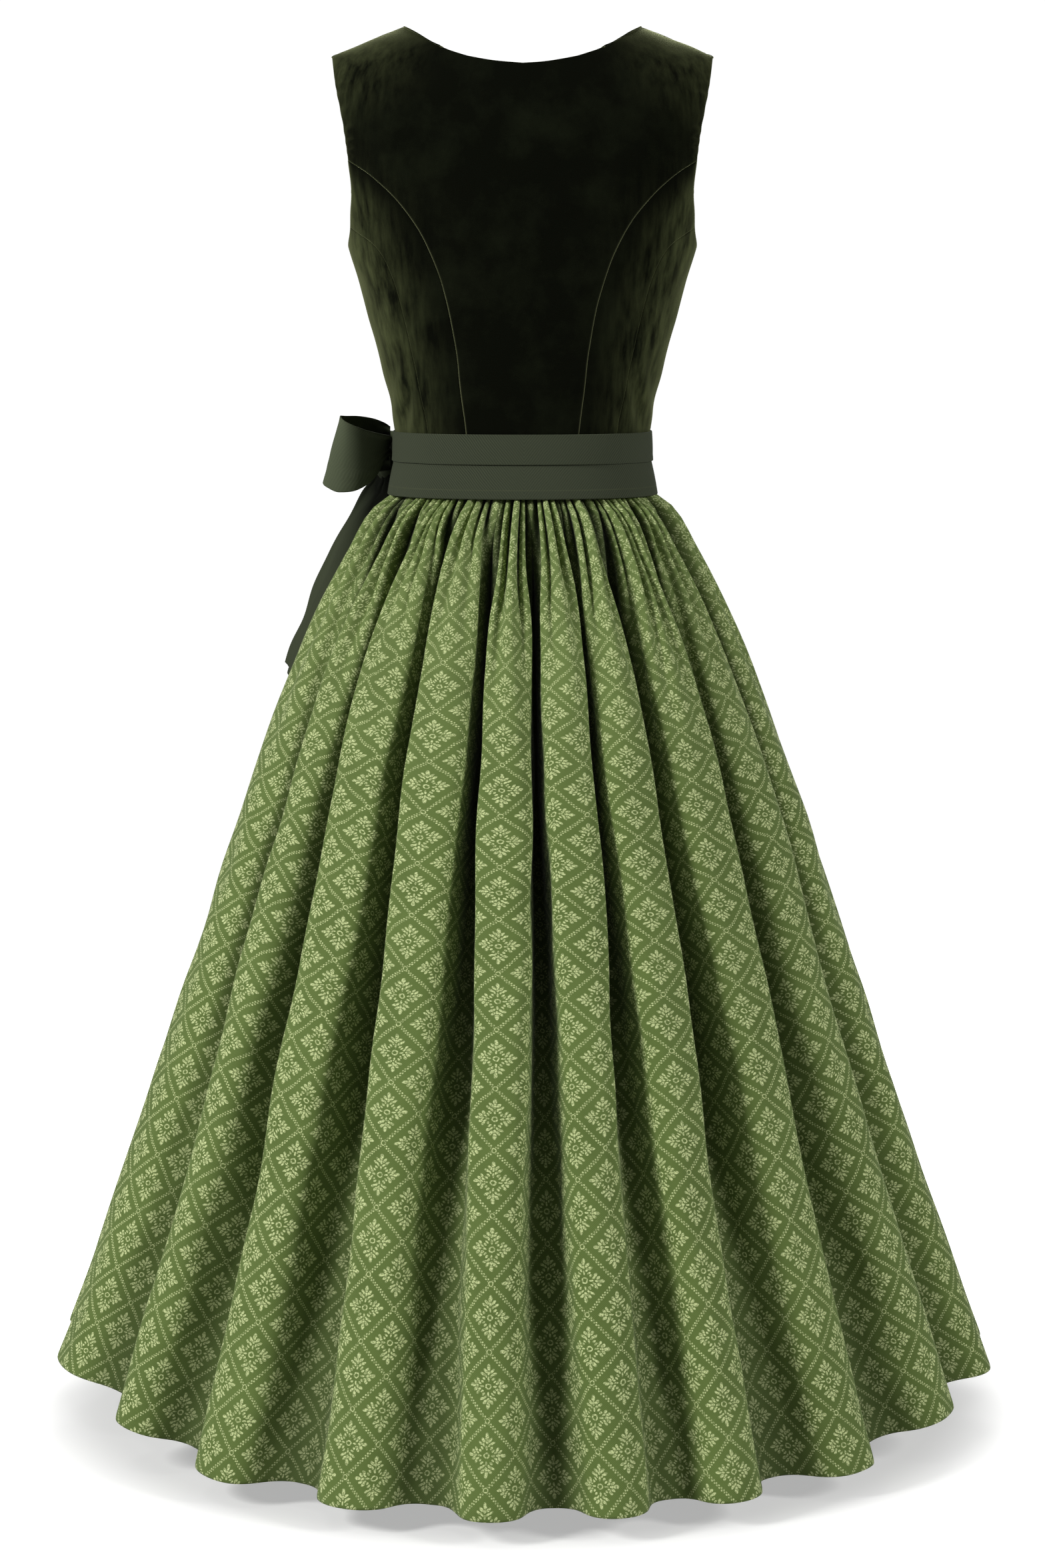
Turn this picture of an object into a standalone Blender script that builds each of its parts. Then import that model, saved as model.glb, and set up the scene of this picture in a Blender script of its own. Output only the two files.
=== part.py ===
"""Sleeveless dirndl dress, held in the shape it takes when worn.

Metres, +Z up. The wearer's back faces -Y, the front +Y and the wearer's right side +X. The origin lies
between the shoulders, at the height of the middle of the shoulder seams, where the wearer carries the dress.
Angles round the body are measured from the centre back: +90 degrees is the right side, 180 the centre front.
"""

import math
from collections import namedtuple

import bmesh
import bpy
import numpy as np

SEAM_GAP = 0.0003
VELVET_WALL = 0.0022
COTTON_WALL = 0.0015
TWILL_WALL = 0.0014

WAIST_Z = -0.390
PRINCESS_TOP_Z = -0.112
SHOULDER_TIP_X, SHOULDER_TIP_Z = 0.1836, -0.0125
SHOULDER_SLOPE = 0.409
ROLL_START_Z = -0.130
ROLL_POWER = 3.0
OVAL_POWER = 2.2

BUST_OUT, BUST_X, BUST_Z, BUST_REACH = 0.024, 0.074, -0.222, 0.046

# Sections of the bodice. Above the arm holes half_width is that of the body that the cloth lies on.
Section = namedtuple("Section", "z half_width back_depth front_depth")
BODICE = [
    Section(-0.390, 0.1215, 0.0955, 0.0980),
    Section(-0.3645, 0.1238, 0.0955, 0.0990),
    Section(-0.3454, 0.1268, 0.0956, 0.1000),
    Section(-0.3070, 0.1360, 0.0968, 0.1030),
    Section(-0.2686, 0.1461, 0.0995, 0.1075),
    Section(-0.2303, 0.1561, 0.1025, 0.1100),
    Section(-0.1922, 0.1678, 0.1052, 0.1100),
    Section(-0.1750, 0.1705, 0.1062, 0.1090),
    Section(-0.1541, 0.1755, 0.1072, 0.1070),
    Section(-0.1162, 0.1815, 0.1080, 0.1020),
    Section(-0.0784, 0.1860, 0.1075, 0.0960),
    Section(-0.0407, 0.1905, 0.1050, 0.0910),
    Section(0.0200, 0.1990, 0.1000, 0.0860),
]

# The right arm hole's edge, from the shoulder tip down the back, under the arm and up the front.
ArmEdge = namedtuple("ArmEdge", "angle z")
ARM_HOLE = [
    ArmEdge(68.5, SHOULDER_TIP_Z),
    ArmEdge(68.1, -0.0407),
    ArmEdge(65.3, -0.0784),
    ArmEdge(64.3, -0.1120),
    ArmEdge(65.0, -0.1351),
    ArmEdge(68.2, -0.1541),
    ArmEdge(75.0, -0.1740),
    ArmEdge(82.5, -0.1875),
    ArmEdge(90.0, -0.1922),
    ArmEdge(98.0, -0.1870),
    ArmEdge(106.0, -0.1700),
    ArmEdge(112.5, -0.1400),
    ArmEdge(115.0, -0.1050),
    ArmEdge(114.5, -0.0700),
    ArmEdge(112.5, -0.0380),
    ArmEdge(111.5, SHOULDER_TIP_Z),
]
PRINCESS_EDGE, SIDE_SEAM_EDGE, FRONT_PRINCESS_EDGE = 3, 6, 11

# Seams and necklines of the right half, as x and z on the surface.
SeamPoint = namedtuple("SeamPoint", "x z")
PRINCESS_SEAM = [
    SeamPoint(0.0520, WAIST_Z),
    SeamPoint(0.0543, -0.3640),
    SeamPoint(0.0586, -0.3307),
    SeamPoint(0.0632, -0.2902),
    SeamPoint(0.0727, -0.2410),
    SeamPoint(0.0878, -0.1970),
    SeamPoint(0.1096, -0.1605),
    SeamPoint(0.1425, -0.1270),
    SeamPoint(0.1648, PRINCESS_TOP_Z),
]
SIDE_BACK_SEAM = [
    SeamPoint(0.0880, WAIST_Z),
    SeamPoint(0.0910, -0.3650),
    SeamPoint(0.1019, -0.3090),
    SeamPoint(0.1114, -0.2660),
    SeamPoint(0.1254, -0.2190),
    SeamPoint(0.1420, -0.1920),
    SeamPoint(0.1680, -0.1740),
]
FRONT_PRINCESS_SEAM = [
    SeamPoint(0.0500, WAIST_Z),
    SeamPoint(0.0610, -0.3100),
    SeamPoint(0.0780, -0.2300),
    SeamPoint(0.1080, -0.1750),
    SeamPoint(0.1640, -0.1400),
]
BACK_NECKLINE = [
    SeamPoint(0.0000, -0.0230),
    SeamPoint(0.0257, -0.0208),
    SeamPoint(0.0514, -0.0157),
    SeamPoint(0.0698, -0.0098),
    SeamPoint(0.0845, -0.0031),
    SeamPoint(0.0991, 0.0062),
    SeamPoint(0.1140, 0.0150),
]
FRONT_NECKLINE = [
    SeamPoint(0.0000, -0.1350),
    SeamPoint(0.0340, -0.1330),
    SeamPoint(0.0640, -0.1240),
    SeamPoint(0.0830, -0.1040),
    SeamPoint(0.0940, -0.0700),
    SeamPoint(0.1030, -0.0300),
    SeamPoint(0.1140, 0.0150),
]
SHOULDER_LINE_X = (0.1370, 0.1600, SHOULDER_TIP_X)

SEAM_ROWS = 10
SEAM_ROW_CROWDING = 1.35
BACK_ARM_ROWS = (2.2, 1.3, 0.65, 0.2, 0.0)
FRONT_ARM_ROWS = (11.8, 12.8, 13.7, 14.45, 15.0)
SIDE_BACK_COLUMNS, SIDE_COLUMNS, FRONT_COLUMNS = 4, 6, 9

# The sash: two turns of folded twill over the waist seam.
Turn = namedtuple("Turn", "name top_z bottom_z top_out bottom_out")
SASH = [
    Turn("sash_upper_turn", -0.3684, -0.3970, 0.0022, 0.0053),
    Turn("sash_lower_turn", -0.3950, -0.4292, 0.0030, 0.0099),
]
SASH_COLUMNS = 48

# Sections of the skirt through its ridges, with the depth of its folds and of the gathers on them.
SkirtSection = namedtuple("SkirtSection", "z half_width half_depth fold gather oval")
SKIRT = [
    SkirtSection(-0.3903, 0.1205, 0.0940, 0.0000, 0.0026, 2.20),
    SkirtSection(-0.4285, 0.1288, 0.1025, 0.0010, 0.0050, 2.20),
    SkirtSection(-0.4421, 0.1465, 0.1190, 0.0030, 0.0080, 2.15),
    SkirtSection(-0.4810, 0.1700, 0.1440, 0.0085, 0.0085, 2.10),
    SkirtSection(-0.5380, 0.1998, 0.1760, 0.0150, 0.0060, 2.05),
    SkirtSection(-0.6180, 0.2362, 0.2140, 0.0205, 0.0030, 2.00),
    SkirtSection(-0.7400, 0.2805, 0.2620, 0.0262, 0.0008, 1.92),
    SkirtSection(-0.9000, 0.3325, 0.3190, 0.0310, 0.0000, 1.88),
    SkirtSection(-1.1000, 0.4005, 0.3900, 0.0335, 0.0000, 1.82),
    SkirtSection(-1.3075, 0.4730, 0.4630, 0.0310, 0.0000, 1.78),
]
# How far the hem is drawn up at each side, and the share of the half width where that starts.
SideLift = namedtuple("SideLift", "lift start")
LEFT_LIFT = SideLift(0.036, 0.55)
RIGHT_LIFT = SideLift(0.024, 0.62)
COLUMNS_PER_GATHER = 3
GATHER_SHOULDER = 0.12

# Each fold: the angle of the valley where it begins, how many gathers it takes up, how deep that valley is.
Fold = namedtuple("Fold", "valley gathers depth")
FOLDS = [
    Fold(-170.0, 3, 0.86),
    Fold(-154.0, 3, 1.12),
    Fold(-138.0, 3, 0.94),
    Fold(-123.0, 3, 1.08),
    Fold(-108.0, 3, 0.95),
    Fold(-93.0, 6, 0.90),
    Fold(-61.0, 3, 1.12),
    Fold(-46.0, 4, 1.12),
    Fold(-28.0, 3, 1.08),
    Fold(-11.0, 3, 0.96),
    Fold(3.7, 3, 1.00),
    Fold(17.5, 3, 0.88),
    Fold(32.0, 4, 1.04),
    Fold(50.5, 4, 1.12),
    Fold(69.5, 4, 1.08),
    Fold(88.0, 4, 1.15),
    Fold(108.0, 3, 1.06),
    Fold(124.0, 3, 0.95),
    Fold(141.0, 3, 1.10),
    Fold(157.0, 3, 0.90),
    Fold(172.0, 4, 1.05),
]
SkirtPanel = namedtuple("SkirtPanel", "name first_fold last_fold")
SKIRT_PANELS = [
    SkirtPanel("skirt_front_left", 0, 5),
    SkirtPanel("skirt_back", 5, 15),
    SkirtPanel("skirt_front_right", 15, 21),
]

# The bow, tied at the wearer's left. Each station across a ribbon gives its upper and its lower edge.
KNOT_PLACE = (-0.1335, 0.0425, -0.3990)
KNOT_HALF = (0.0105, 0.0145, 0.0185)
KNOT_TURN = math.radians(20)
Station = namedtuple("Station", "upper_x upper_y upper_z lower_x lower_y lower_z")
LOOP_BACK = [
    Station(-0.1290, 0.0225, -0.3800, -0.1290, 0.0225, -0.4050),
    Station(-0.1287, 0.0080, -0.3745, -0.1295, 0.0080, -0.3940),
    Station(-0.1420, -0.0120, -0.3700, -0.1430, -0.0130, -0.4140),
    Station(-0.1560, -0.0260, -0.3650, -0.1590, -0.0270, -0.4245),
    Station(-0.1690, -0.0320, -0.3590, -0.1760, -0.0320, -0.4265),
    Station(-0.1745, -0.0290, -0.3550, -0.1880, -0.0290, -0.4220),
    Station(-0.1755, -0.0220, -0.3530, -0.1918, -0.0220, -0.4185),
    Station(-0.1700, -0.0070, -0.3540, -0.1870, -0.0070, -0.4165),
    Station(-0.1580, 0.0080, -0.3550, -0.1740, 0.0080, -0.4130),
    Station(-0.1450, 0.0190, -0.3575, -0.1550, 0.0190, -0.4110),
    Station(-0.1345, 0.0250, -0.3620, -0.1370, 0.0250, -0.4090),
    Station(-0.1290, 0.0262, -0.3655, -0.1290, 0.0262, -0.4080),
]
LOOP_FRONT = [
    Station(-0.1390, 0.0610, -0.3860, -0.1390, 0.0610, -0.4090),
    Station(-0.1410, 0.0760, -0.3800, -0.1430, 0.0760, -0.4130),
    Station(-0.1440, 0.0980, -0.3770, -0.1480, 0.0980, -0.4190),
    Station(-0.1420, 0.1190, -0.3750, -0.1480, 0.1210, -0.4240),
    Station(-0.1330, 0.1300, -0.3740, -0.1400, 0.1340, -0.4240),
    Station(-0.1220, 0.1260, -0.3750, -0.1300, 0.1300, -0.4220),
    Station(-0.1180, 0.1080, -0.3770, -0.1260, 0.1100, -0.4180),
    Station(-0.1210, 0.0860, -0.3800, -0.1250, 0.0870, -0.4150),
    Station(-0.1290, 0.0640, -0.3880, -0.1290, 0.0640, -0.4090),
]
TAIL_BACK = [
    Station(-0.1468, 0.0500, -0.4195, -0.1325, 0.0320, -0.4190),
    Station(-0.1578, 0.0640, -0.4304, -0.1320, 0.0360, -0.4290),
    Station(-0.1731, 0.0800, -0.4570, -0.1505, 0.0440, -0.4540),
    Station(-0.1940, 0.0950, -0.4916, -0.1692, 0.0520, -0.4880),
    Station(-0.2162, 0.1080, -0.5435, -0.1945, 0.0600, -0.5400),
    Station(-0.2410, 0.1200, -0.6060, -0.2280, 0.0720, -0.6200),
]
TAIL_FRONT = [
    Station(-0.1310, 0.0580, -0.4190, -0.1210, 0.0740, -0.4190),
    Station(-0.1330, 0.0690, -0.4300, -0.1180, 0.0930, -0.4300),
    Station(-0.1420, 0.0850, -0.4580, -0.1120, 0.1260, -0.4580),
    Station(-0.1540, 0.0910, -0.4950, -0.1220, 0.1460, -0.4950),
    Station(-0.1760, 0.1010, -0.5500, -0.1420, 0.1580, -0.5520),
    Station(-0.1960, 0.1110, -0.6020, -0.1650, 0.1680, -0.6280),
]
LOOP_ROWS, TAIL_ROWS, RIBBON_COLUMNS = 22, 10, 3


def clear_scene():
    for obj in list(bpy.data.objects):
        bpy.data.objects.remove(obj, do_unlink=True)


def material(name, colour, roughness, sheen=0.0):
    made = bpy.data.materials.new(name)
    made.use_nodes = True
    shader = made.node_tree.nodes["Principled BSDF"]
    shader.inputs["Base Color"].default_value = (*colour, 1.0)
    shader.inputs["Roughness"].default_value = roughness
    shader.inputs["Metallic"].default_value = 0.0
    shader.inputs["Sheen Weight"].default_value = sheen
    made.diffuse_color = (*colour, 1.0)
    return made


def smooth(known, values, wanted):
    """A smooth curve through the known values, read at each wanted place, without overshoot."""
    known, values = np.asarray(known, float), np.asarray(values, float)
    wanted = np.asarray(wanted, float)
    steps = np.diff(known)
    slopes = np.diff(values) / steps
    tangents = np.concatenate([slopes[:1], (slopes[:-1] + slopes[1:]) / 2, slopes[-1:]])
    flat = np.concatenate([[False], slopes[:-1] * slopes[1:] <= 0, [False]])
    tangents[flat] = 0.0
    place = np.clip(np.searchsorted(known, wanted, side="right") - 1, 0, len(steps) - 1)
    part = np.clip((wanted - known[place]) / steps[place], 0.0, 1.0)
    return (
        values[place] * (1 + 2 * part) * (1 - part) ** 2
        + values[place + 1] * part**2 * (3 - 2 * part)
        + tangents[place] * steps[place] * part * (1 - part) ** 2
        - tangents[place + 1] * steps[place] * part**2 * (1 - part)
    )


def column(table, name, at, by="z"):
    """One named column of a table, read smoothly at other heights."""
    rows = sorted(table, key=lambda row: getattr(row, by))
    return smooth([getattr(r, by) for r in rows], [getattr(r, name) for r in rows], at)


def signed_power(value, power):
    return np.sign(value) * np.abs(value) ** power


def wall(name, outer, inner, finish, ring=False):
    """One closed solid between two grids of points, rows by columns; a ring closes round its columns."""
    rows, columns = outer.shape[:2]
    mesh = bpy.data.meshes.new(name)
    shape = bmesh.new()
    grids = [[[shape.verts.new(p) for p in row] for row in grid] for grid in (outer, inner)]
    last = columns if ring else columns - 1
    for r in range(rows - 1):
        for c in range(last):
            d = (c + 1) % columns
            for side, grid in enumerate(grids):
                face = [grid[r][c], grid[r][d], grid[r + 1][d], grid[r + 1][c]]
                shape.faces.new(face if side == 0 else face[::-1])
    out, into = grids
    for r, turned in ((0, False), (rows - 1, True)):
        for c in range(last):
            d = (c + 1) % columns
            face = [out[r][d], out[r][c], into[r][c], into[r][d]]
            shape.faces.new(face[::-1] if turned else face)
    if not ring:
        for c, turned in ((0, False), (columns - 1, True)):
            for r in range(rows - 1):
                face = [out[r][c], out[r + 1][c], into[r + 1][c], into[r][c]]
                shape.faces.new(face[::-1] if turned else face)
    if shape.calc_volume(signed=True) < 0:
        bmesh.ops.reverse_faces(shape, faces=shape.faces)
    shape.to_mesh(mesh)
    shape.free()
    mesh.shade_smooth()
    mesh.set_sharp_from_angle(angle=math.radians(50))
    mesh.materials.append(finish)
    made = bpy.data.objects.new(name, mesh)
    dress.objects.link(made)
    return made


def draw_in(grid, first=True, last=True, by=SEAM_GAP / 2):
    """Moves the first and the last column of a grid inwards, to part it from the next piece."""
    moved = grid.copy()
    for edge, beside, wanted in ((0, 1, first), (-1, -2, last)):
        if wanted:
            step = grid[:, beside] - grid[:, edge]
            moved[:, edge] += by * step / np.linalg.norm(step, axis=1, keepdims=True)
    return moved


# ---------------------------------------------------------------- bodice


def shoulder_height(x):
    """Height of the shoulder seam's line, carried on inwards over the neck opening."""
    return SHOULDER_TIP_Z + SHOULDER_SLOPE * (SHOULDER_TIP_X - np.abs(x))


def body(angle, z):
    """Points of the bodice's outer surface at angles round the body, in radians, and heights."""
    half_width = column(BODICE, "half_width", z)
    x = half_width * signed_power(np.sin(angle), 2 / OVAL_POWER)
    back = np.cos(angle) > 0
    depth = np.where(back, column(BODICE, "back_depth", z), column(BODICE, "front_depth", z))
    depth = depth * np.abs(np.cos(angle)) ** (2 / OVAL_POWER)
    spread = ((np.abs(x) - BUST_X) ** 2 + (z - BUST_Z) ** 2) / (2 * BUST_REACH**2)
    depth = depth + np.where(back, 0.0, BUST_OUT * np.exp(-spread) * np.clip(-2.5 * np.cos(angle), 0, 1))
    climb = np.clip((z - ROLL_START_Z) / (shoulder_height(x) - ROLL_START_Z), 0.0, 1.0)
    y = np.where(back, -depth, depth) * np.sqrt(1 - climb**ROLL_POWER)
    return np.stack([x, y, z], axis=-1)


def angle_at(x, z, front=False):
    """The angle round the body at which its surface has this x."""
    share = np.clip(np.abs(x) / column(BODICE, "half_width", z), 0.0, 1.0)
    angle = np.sign(x) * np.arcsin(share ** (OVAL_POWER / 2))
    return math.pi - angle if front else angle


def body_normal(angle, z):
    step = 1e-4
    z = np.minimum(z, shoulder_height(body(angle, z)[..., 0]) - 6 * step)
    across = body(angle + step, z) - body(angle - step, z)
    up = body(angle, z + step) - body(angle, z - step)
    normal = np.cross(across, up)
    return normal / np.linalg.norm(normal, axis=-1, keepdims=True)


def patch(left, right, bottom, top, rises):
    """Fills the outline between four edges. rises gives how far up each row of the two sides lies."""
    shares = np.linspace(0.0, 1.0, len(bottom))
    filled = np.zeros((len(left), len(bottom), 2))
    for j, rise in enumerate(rises):
        for i, share in enumerate(shares):
            sides = (1 - share) * left[j] + share * right[j]
            ends = (1 - rise) * bottom[i] + rise * top[i]
            corners = (1 - rise) * ((1 - share) * bottom[0] + share * bottom[-1])
            corners = corners + rise * ((1 - share) * top[0] + share * top[-1])
            filled[j, i] = sides + ends - corners
    return filled


def arm_edge(places):
    """Points on the arm hole's edge, as angle in radians and height; whole places are the table's rows."""
    steps = np.arange(len(ARM_HOLE))
    angle = smooth(steps, [row.angle for row in ARM_HOLE], places)
    z = smooth(steps, [row.z for row in ARM_HOLE], places)
    return np.stack([np.radians(angle), z], axis=-1)


def seam(points, z):
    """A seam as x at each height, smooth through its points."""
    return column(points, "x", z)


def seam_angles(points, end_place, front=False):
    """A seam as rows of angle and height, from the waist up to its end on the arm hole."""
    end = arm_edge([float(end_place)])[0]
    rise = 1 - (1 - np.linspace(0.0, 1.0, SEAM_ROWS + 1)) ** SEAM_ROW_CROWDING
    z = WAIST_Z + (end[1] - WAIST_Z) * rise
    angle = angle_at(seam(points, z), z, front)
    angle[-1] = end[0]
    return np.stack([angle, z], axis=-1)


def bodice_wall(name, angle, z, seams, finish, mirror=False):
    """A bodice piece from a grid of angles and heights. seams says which sides meet another piece."""
    outer = body(angle, z)
    normal = body_normal(angle, z)
    on_shoulder = np.abs(z - shoulder_height(outer[..., 0])) < 1e-6
    outer[on_shoulder, 1] = 0.0
    normal[on_shoulder, 1] = 0.0
    normal /= np.linalg.norm(normal, axis=-1, keepdims=True)
    inner = outer - VELVET_WALL * normal
    outer, inner = (draw_in(grid, seams[0], seams[1]) for grid in (outer, inner))
    for grid in (outer, inner):
        front = angle[-1] > math.pi / 2
        grid[-1, on_shoulder[-1], 1] += np.where(front, 1, -1)[on_shoulder[-1]] * SEAM_GAP / 2
    if mirror:
        outer, inner = (grid * np.array([-1.0, 1.0, 1.0]) for grid in (outer, inner))
    return wall(name, outer, inner, finish)


def centre_back(finish):
    """The piece between the princess seams. Its rows run from seam to seam, its columns up to the neck."""
    edge = np.concatenate([seam_angles(PRINCESS_SEAM, PRINCESS_EDGE), arm_edge(BACK_ARM_ROWS)])
    top = [(p.x, p.z) for p in BACK_NECKLINE] + [(x, float(shoulder_height(x))) for x in SHOULDER_LINE_X]
    top = np.array(top)
    right_x = np.append(np.abs(body(edge[:-1, 0], edge[:-1, 1])[:, 0]), SHOULDER_TIP_X)
    rises = (edge[:, 1] - WAIST_Z) / (edge[-1, 1] - WAIST_Z)
    x = right_x[:, None] * top[:, 0] / top[-1, 0]
    z = WAIST_Z + (top[:, 1] - WAIST_Z) * rises[:, None]
    x = np.concatenate([-x[:, :0:-1], x], axis=1)
    z = np.concatenate([z[:, :0:-1], z], axis=1)
    angle = angle_at(x, z)
    angle[:, -1], angle[:, 0] = edge[:, 0], -edge[:, 0]
    return bodice_wall("bodice_back_centre", angle, z, (True, True), finish)


def front_halves(finish):
    """The pieces beside the centre front. Rows run from there and from the neckline to seam and arm hole."""
    edge = np.concatenate(
        [seam_angles(FRONT_PRINCESS_SEAM, FRONT_PRINCESS_EDGE, front=True), arm_edge(FRONT_ARM_ROWS)]
    )
    right_x = np.append(np.abs(body(edge[:-1, 0], edge[:-1, 1])[:, 0]), SHOULDER_TIP_X)
    centre_rows = len(edge) - len(FRONT_NECKLINE)
    centre_z = np.linspace(WAIST_Z, FRONT_NECKLINE[0].z, centre_rows + 1)[:-1]
    left_x = np.append(np.zeros(centre_rows), [p.x for p in FRONT_NECKLINE])
    left_z = np.append(centre_z, [p.z for p in FRONT_NECKLINE])
    share = np.linspace(0.0, 1.0, FRONT_COLUMNS + 1)
    x = left_x[:, None] * (1 - share) + right_x[:, None] * share
    z = left_z[:, None] * (1 - share) + edge[:, 1:] * share
    z[-1, 1:] = shoulder_height(x[-1, 1:])
    angle = angle_at(x, z, front=True)
    angle[:, -1] = edge[:, 0]
    for name, mirror in (("bodice_front_right", False), ("bodice_front_left", True)):
        bodice_wall(name, angle, z, (True, True), finish, mirror)


def side_pieces(finish):
    """The pieces between the princess seams: one behind the side-back seam, one under the arm."""
    princess = seam_angles(PRINCESS_SEAM, PRINCESS_EDGE)
    side_back = seam_angles(SIDE_BACK_SEAM, SIDE_SEAM_EDGE)
    front = seam_angles(FRONT_PRINCESS_SEAM, FRONT_PRINCESS_EDGE, front=True)
    rises = (princess[:, 1] - WAIST_Z) / (princess[-1, 1] - WAIST_Z)
    pieces = (
        ("bodice_side_back", princess, side_back, PRINCESS_EDGE, SIDE_SEAM_EDGE, SIDE_BACK_COLUMNS),
        ("bodice_side", side_back, front, SIDE_SEAM_EDGE, FRONT_PRINCESS_EDGE, SIDE_COLUMNS),
    )
    for name, left, right, first, last, columns in pieces:
        top = arm_edge(np.linspace(first, last, columns + 1))
        shares = np.linspace(0.0, 1.0, columns + 1)[:, None]
        bottom = left[0] * (1 - shares) + right[0] * shares
        grid = patch(left, right, bottom, top, rises)
        for side, mirror in (("right", False), ("left", True)):
            full = f"{name}_{side}"
            bodice_wall(full, grid[..., 0], grid[..., 1], (True, True), finish, mirror)


# ---------------------------------------------------------------- sash


def oval(angle, half_width, back_depth, front_depth, power):
    x = half_width * signed_power(np.sin(angle), 2 / power)
    depth = np.where(np.cos(angle) > 0, back_depth, front_depth)
    return x, -depth * signed_power(np.cos(angle), 2 / power)


def sash(finish):
    angle = np.linspace(-math.pi, math.pi, SASH_COLUMNS, endpoint=False)
    for turn in SASH:
        grids = []
        for inward in (0.0, TWILL_WALL):
            rows = []
            for share in (0.0, 0.5, 1.0):
                out = turn.top_out + (turn.bottom_out - turn.top_out) * share - inward
                z = turn.top_z + (turn.bottom_z - turn.top_z) * share
                sides = [float(column(BODICE, side, max(z, WAIST_Z))) + out for side in Section._fields[1:]]
                x, y = oval(angle, *sides, OVAL_POWER)
                rows.append(np.stack([x, y, np.full_like(x, z)], axis=-1))
            grids.append(np.array(rows))
        wall(turn.name, grids[0], grids[1], finish, ring=True)


# ---------------------------------------------------------------- skirt


def ridge_curve(angle, section):
    """The oval that the tops of the folds reach. The sine of the angle gives the place between the sides."""
    side = np.sin(angle)
    depth = (1 - np.abs(side) ** section.oval) ** (1 / section.oval)
    x, y = section.half_width * side, -section.half_depth * np.sign(np.cos(angle)) * depth
    return np.stack([x, y], axis=-1)


def skirt_ring(section, per_gather):
    """One level of the skirt: circular arcs between the valleys, with gathers pressed into them."""
    points = []
    for k, fold in enumerate(FOLDS):
        after = FOLDS[(k + 1) % len(FOLDS)]
        first, last = fold.valley, after.valley + (360 if after.valley < fold.valley else 0)
        ends = []
        for angle, depth in ((first, fold.depth), (last, after.depth)):
            ridge = ridge_curve(np.radians(angle), section)
            ends.append(ridge * (1 - section.fold * depth / np.linalg.norm(ridge)))
        top = ridge_curve(np.radians((first + last) / 2), section)
        chord = ends[1] - ends[0]
        width = np.linalg.norm(chord)
        along = chord / width
        out = np.array([along[1], -along[0]])
        height = max(float(np.dot(top - ends[0], out)), 1e-4)
        half = 2 * math.atan(2 * height / width)
        count = fold.gathers * per_gather
        share = np.arange(count) / count
        turn = half * (1 - 2 * share)
        forward = width / 2 * (1 - np.sin(turn) / math.sin(half))
        outward = width / (2 * math.sin(half)) * (np.cos(turn) - math.cos(half))
        wave = (share * fold.gathers) % 1.0
        pressed = section.gather * gather_wave(wave)
        forward = forward + pressed * np.sin(turn)
        outward = outward - pressed * np.cos(turn)
        points.append(ends[0] + forward[:, None] * along + outward[:, None] * out)
    return np.concatenate(points)


def side_lift(ring, section):
    """How much the cloth is drawn up towards the sides, growing from the band to the hem."""
    spread = np.clip((SKIRT[0].z - section.z) / (SKIRT[0].z - SKIRT[-1].z), 0.0, 1.0)
    total = 0.0
    for side, sign in ((LEFT_LIFT, -1), (RIGHT_LIFT, 1)):
        share = np.clip((sign * ring[:, 0] / section.half_width - side.start) / (1 - side.start), 0.0, 1.0)
        total = total + side.lift * share**2 * (3 - 2 * share)
    return total * spread**2


def gather_wave(share):
    """How far a gather is pressed in, from 1 in its valley to 0 on its ridge."""
    return GATHER_SHOULDER + (1 - GATHER_SHOULDER) * (0.5 + 0.5 * np.cos(2 * math.pi * share)) ** 2


def inner_ring(ring, thickness):
    """The ring's inner face, square to the cloth, with mitred corners."""
    before, after = np.roll(ring, 1, axis=0), np.roll(ring, -1, axis=0)
    normals = []
    for start, end in ((before, ring), (ring, after)):
        step = end - start
        step /= np.linalg.norm(step, axis=1, keepdims=True)
        normals.append(np.stack([step[:, 1], -step[:, 0]], axis=-1))
    middle = normals[0] + normals[1]
    middle /= np.linalg.norm(middle, axis=1, keepdims=True)
    lean = np.clip(np.sum(middle * normals[0], axis=1), 0.62, 1.0)
    return ring - thickness * middle / lean[:, None]


def skirt(finish):
    outer, inner = [], []
    for section in SKIRT:
        ring = skirt_ring(section, COLUMNS_PER_GATHER)
        level = (section.z + side_lift(ring, section))[:, None]
        outer.append(np.hstack([ring, level]))
        inner.append(np.hstack([inner_ring(ring, COTTON_WALL), level]))
    outer, inner = np.array(outer), np.array(inner)
    forward = np.roll(outer, -1, axis=1) - np.roll(outer, 1, axis=1)
    forward /= np.linalg.norm(forward, axis=-1, keepdims=True)
    starts = np.concatenate([[0], np.cumsum([f.gathers * COLUMNS_PER_GATHER for f in FOLDS])])
    for panel in SKIRT_PANELS:
        wanted = np.arange(starts[panel.first_fold], starts[panel.last_fold] + 1) % outer.shape[1]
        grids = [grid[:, wanted] for grid in (outer, inner)]
        for grid in grids:
            grid[:, 0] += forward[:, wanted[0]] * SEAM_GAP / 2
            grid[:, -1] -= forward[:, wanted[-1]] * SEAM_GAP / 2
        wall(panel.name, *grids, finish)


# ---------------------------------------------------------------- bow


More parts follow.
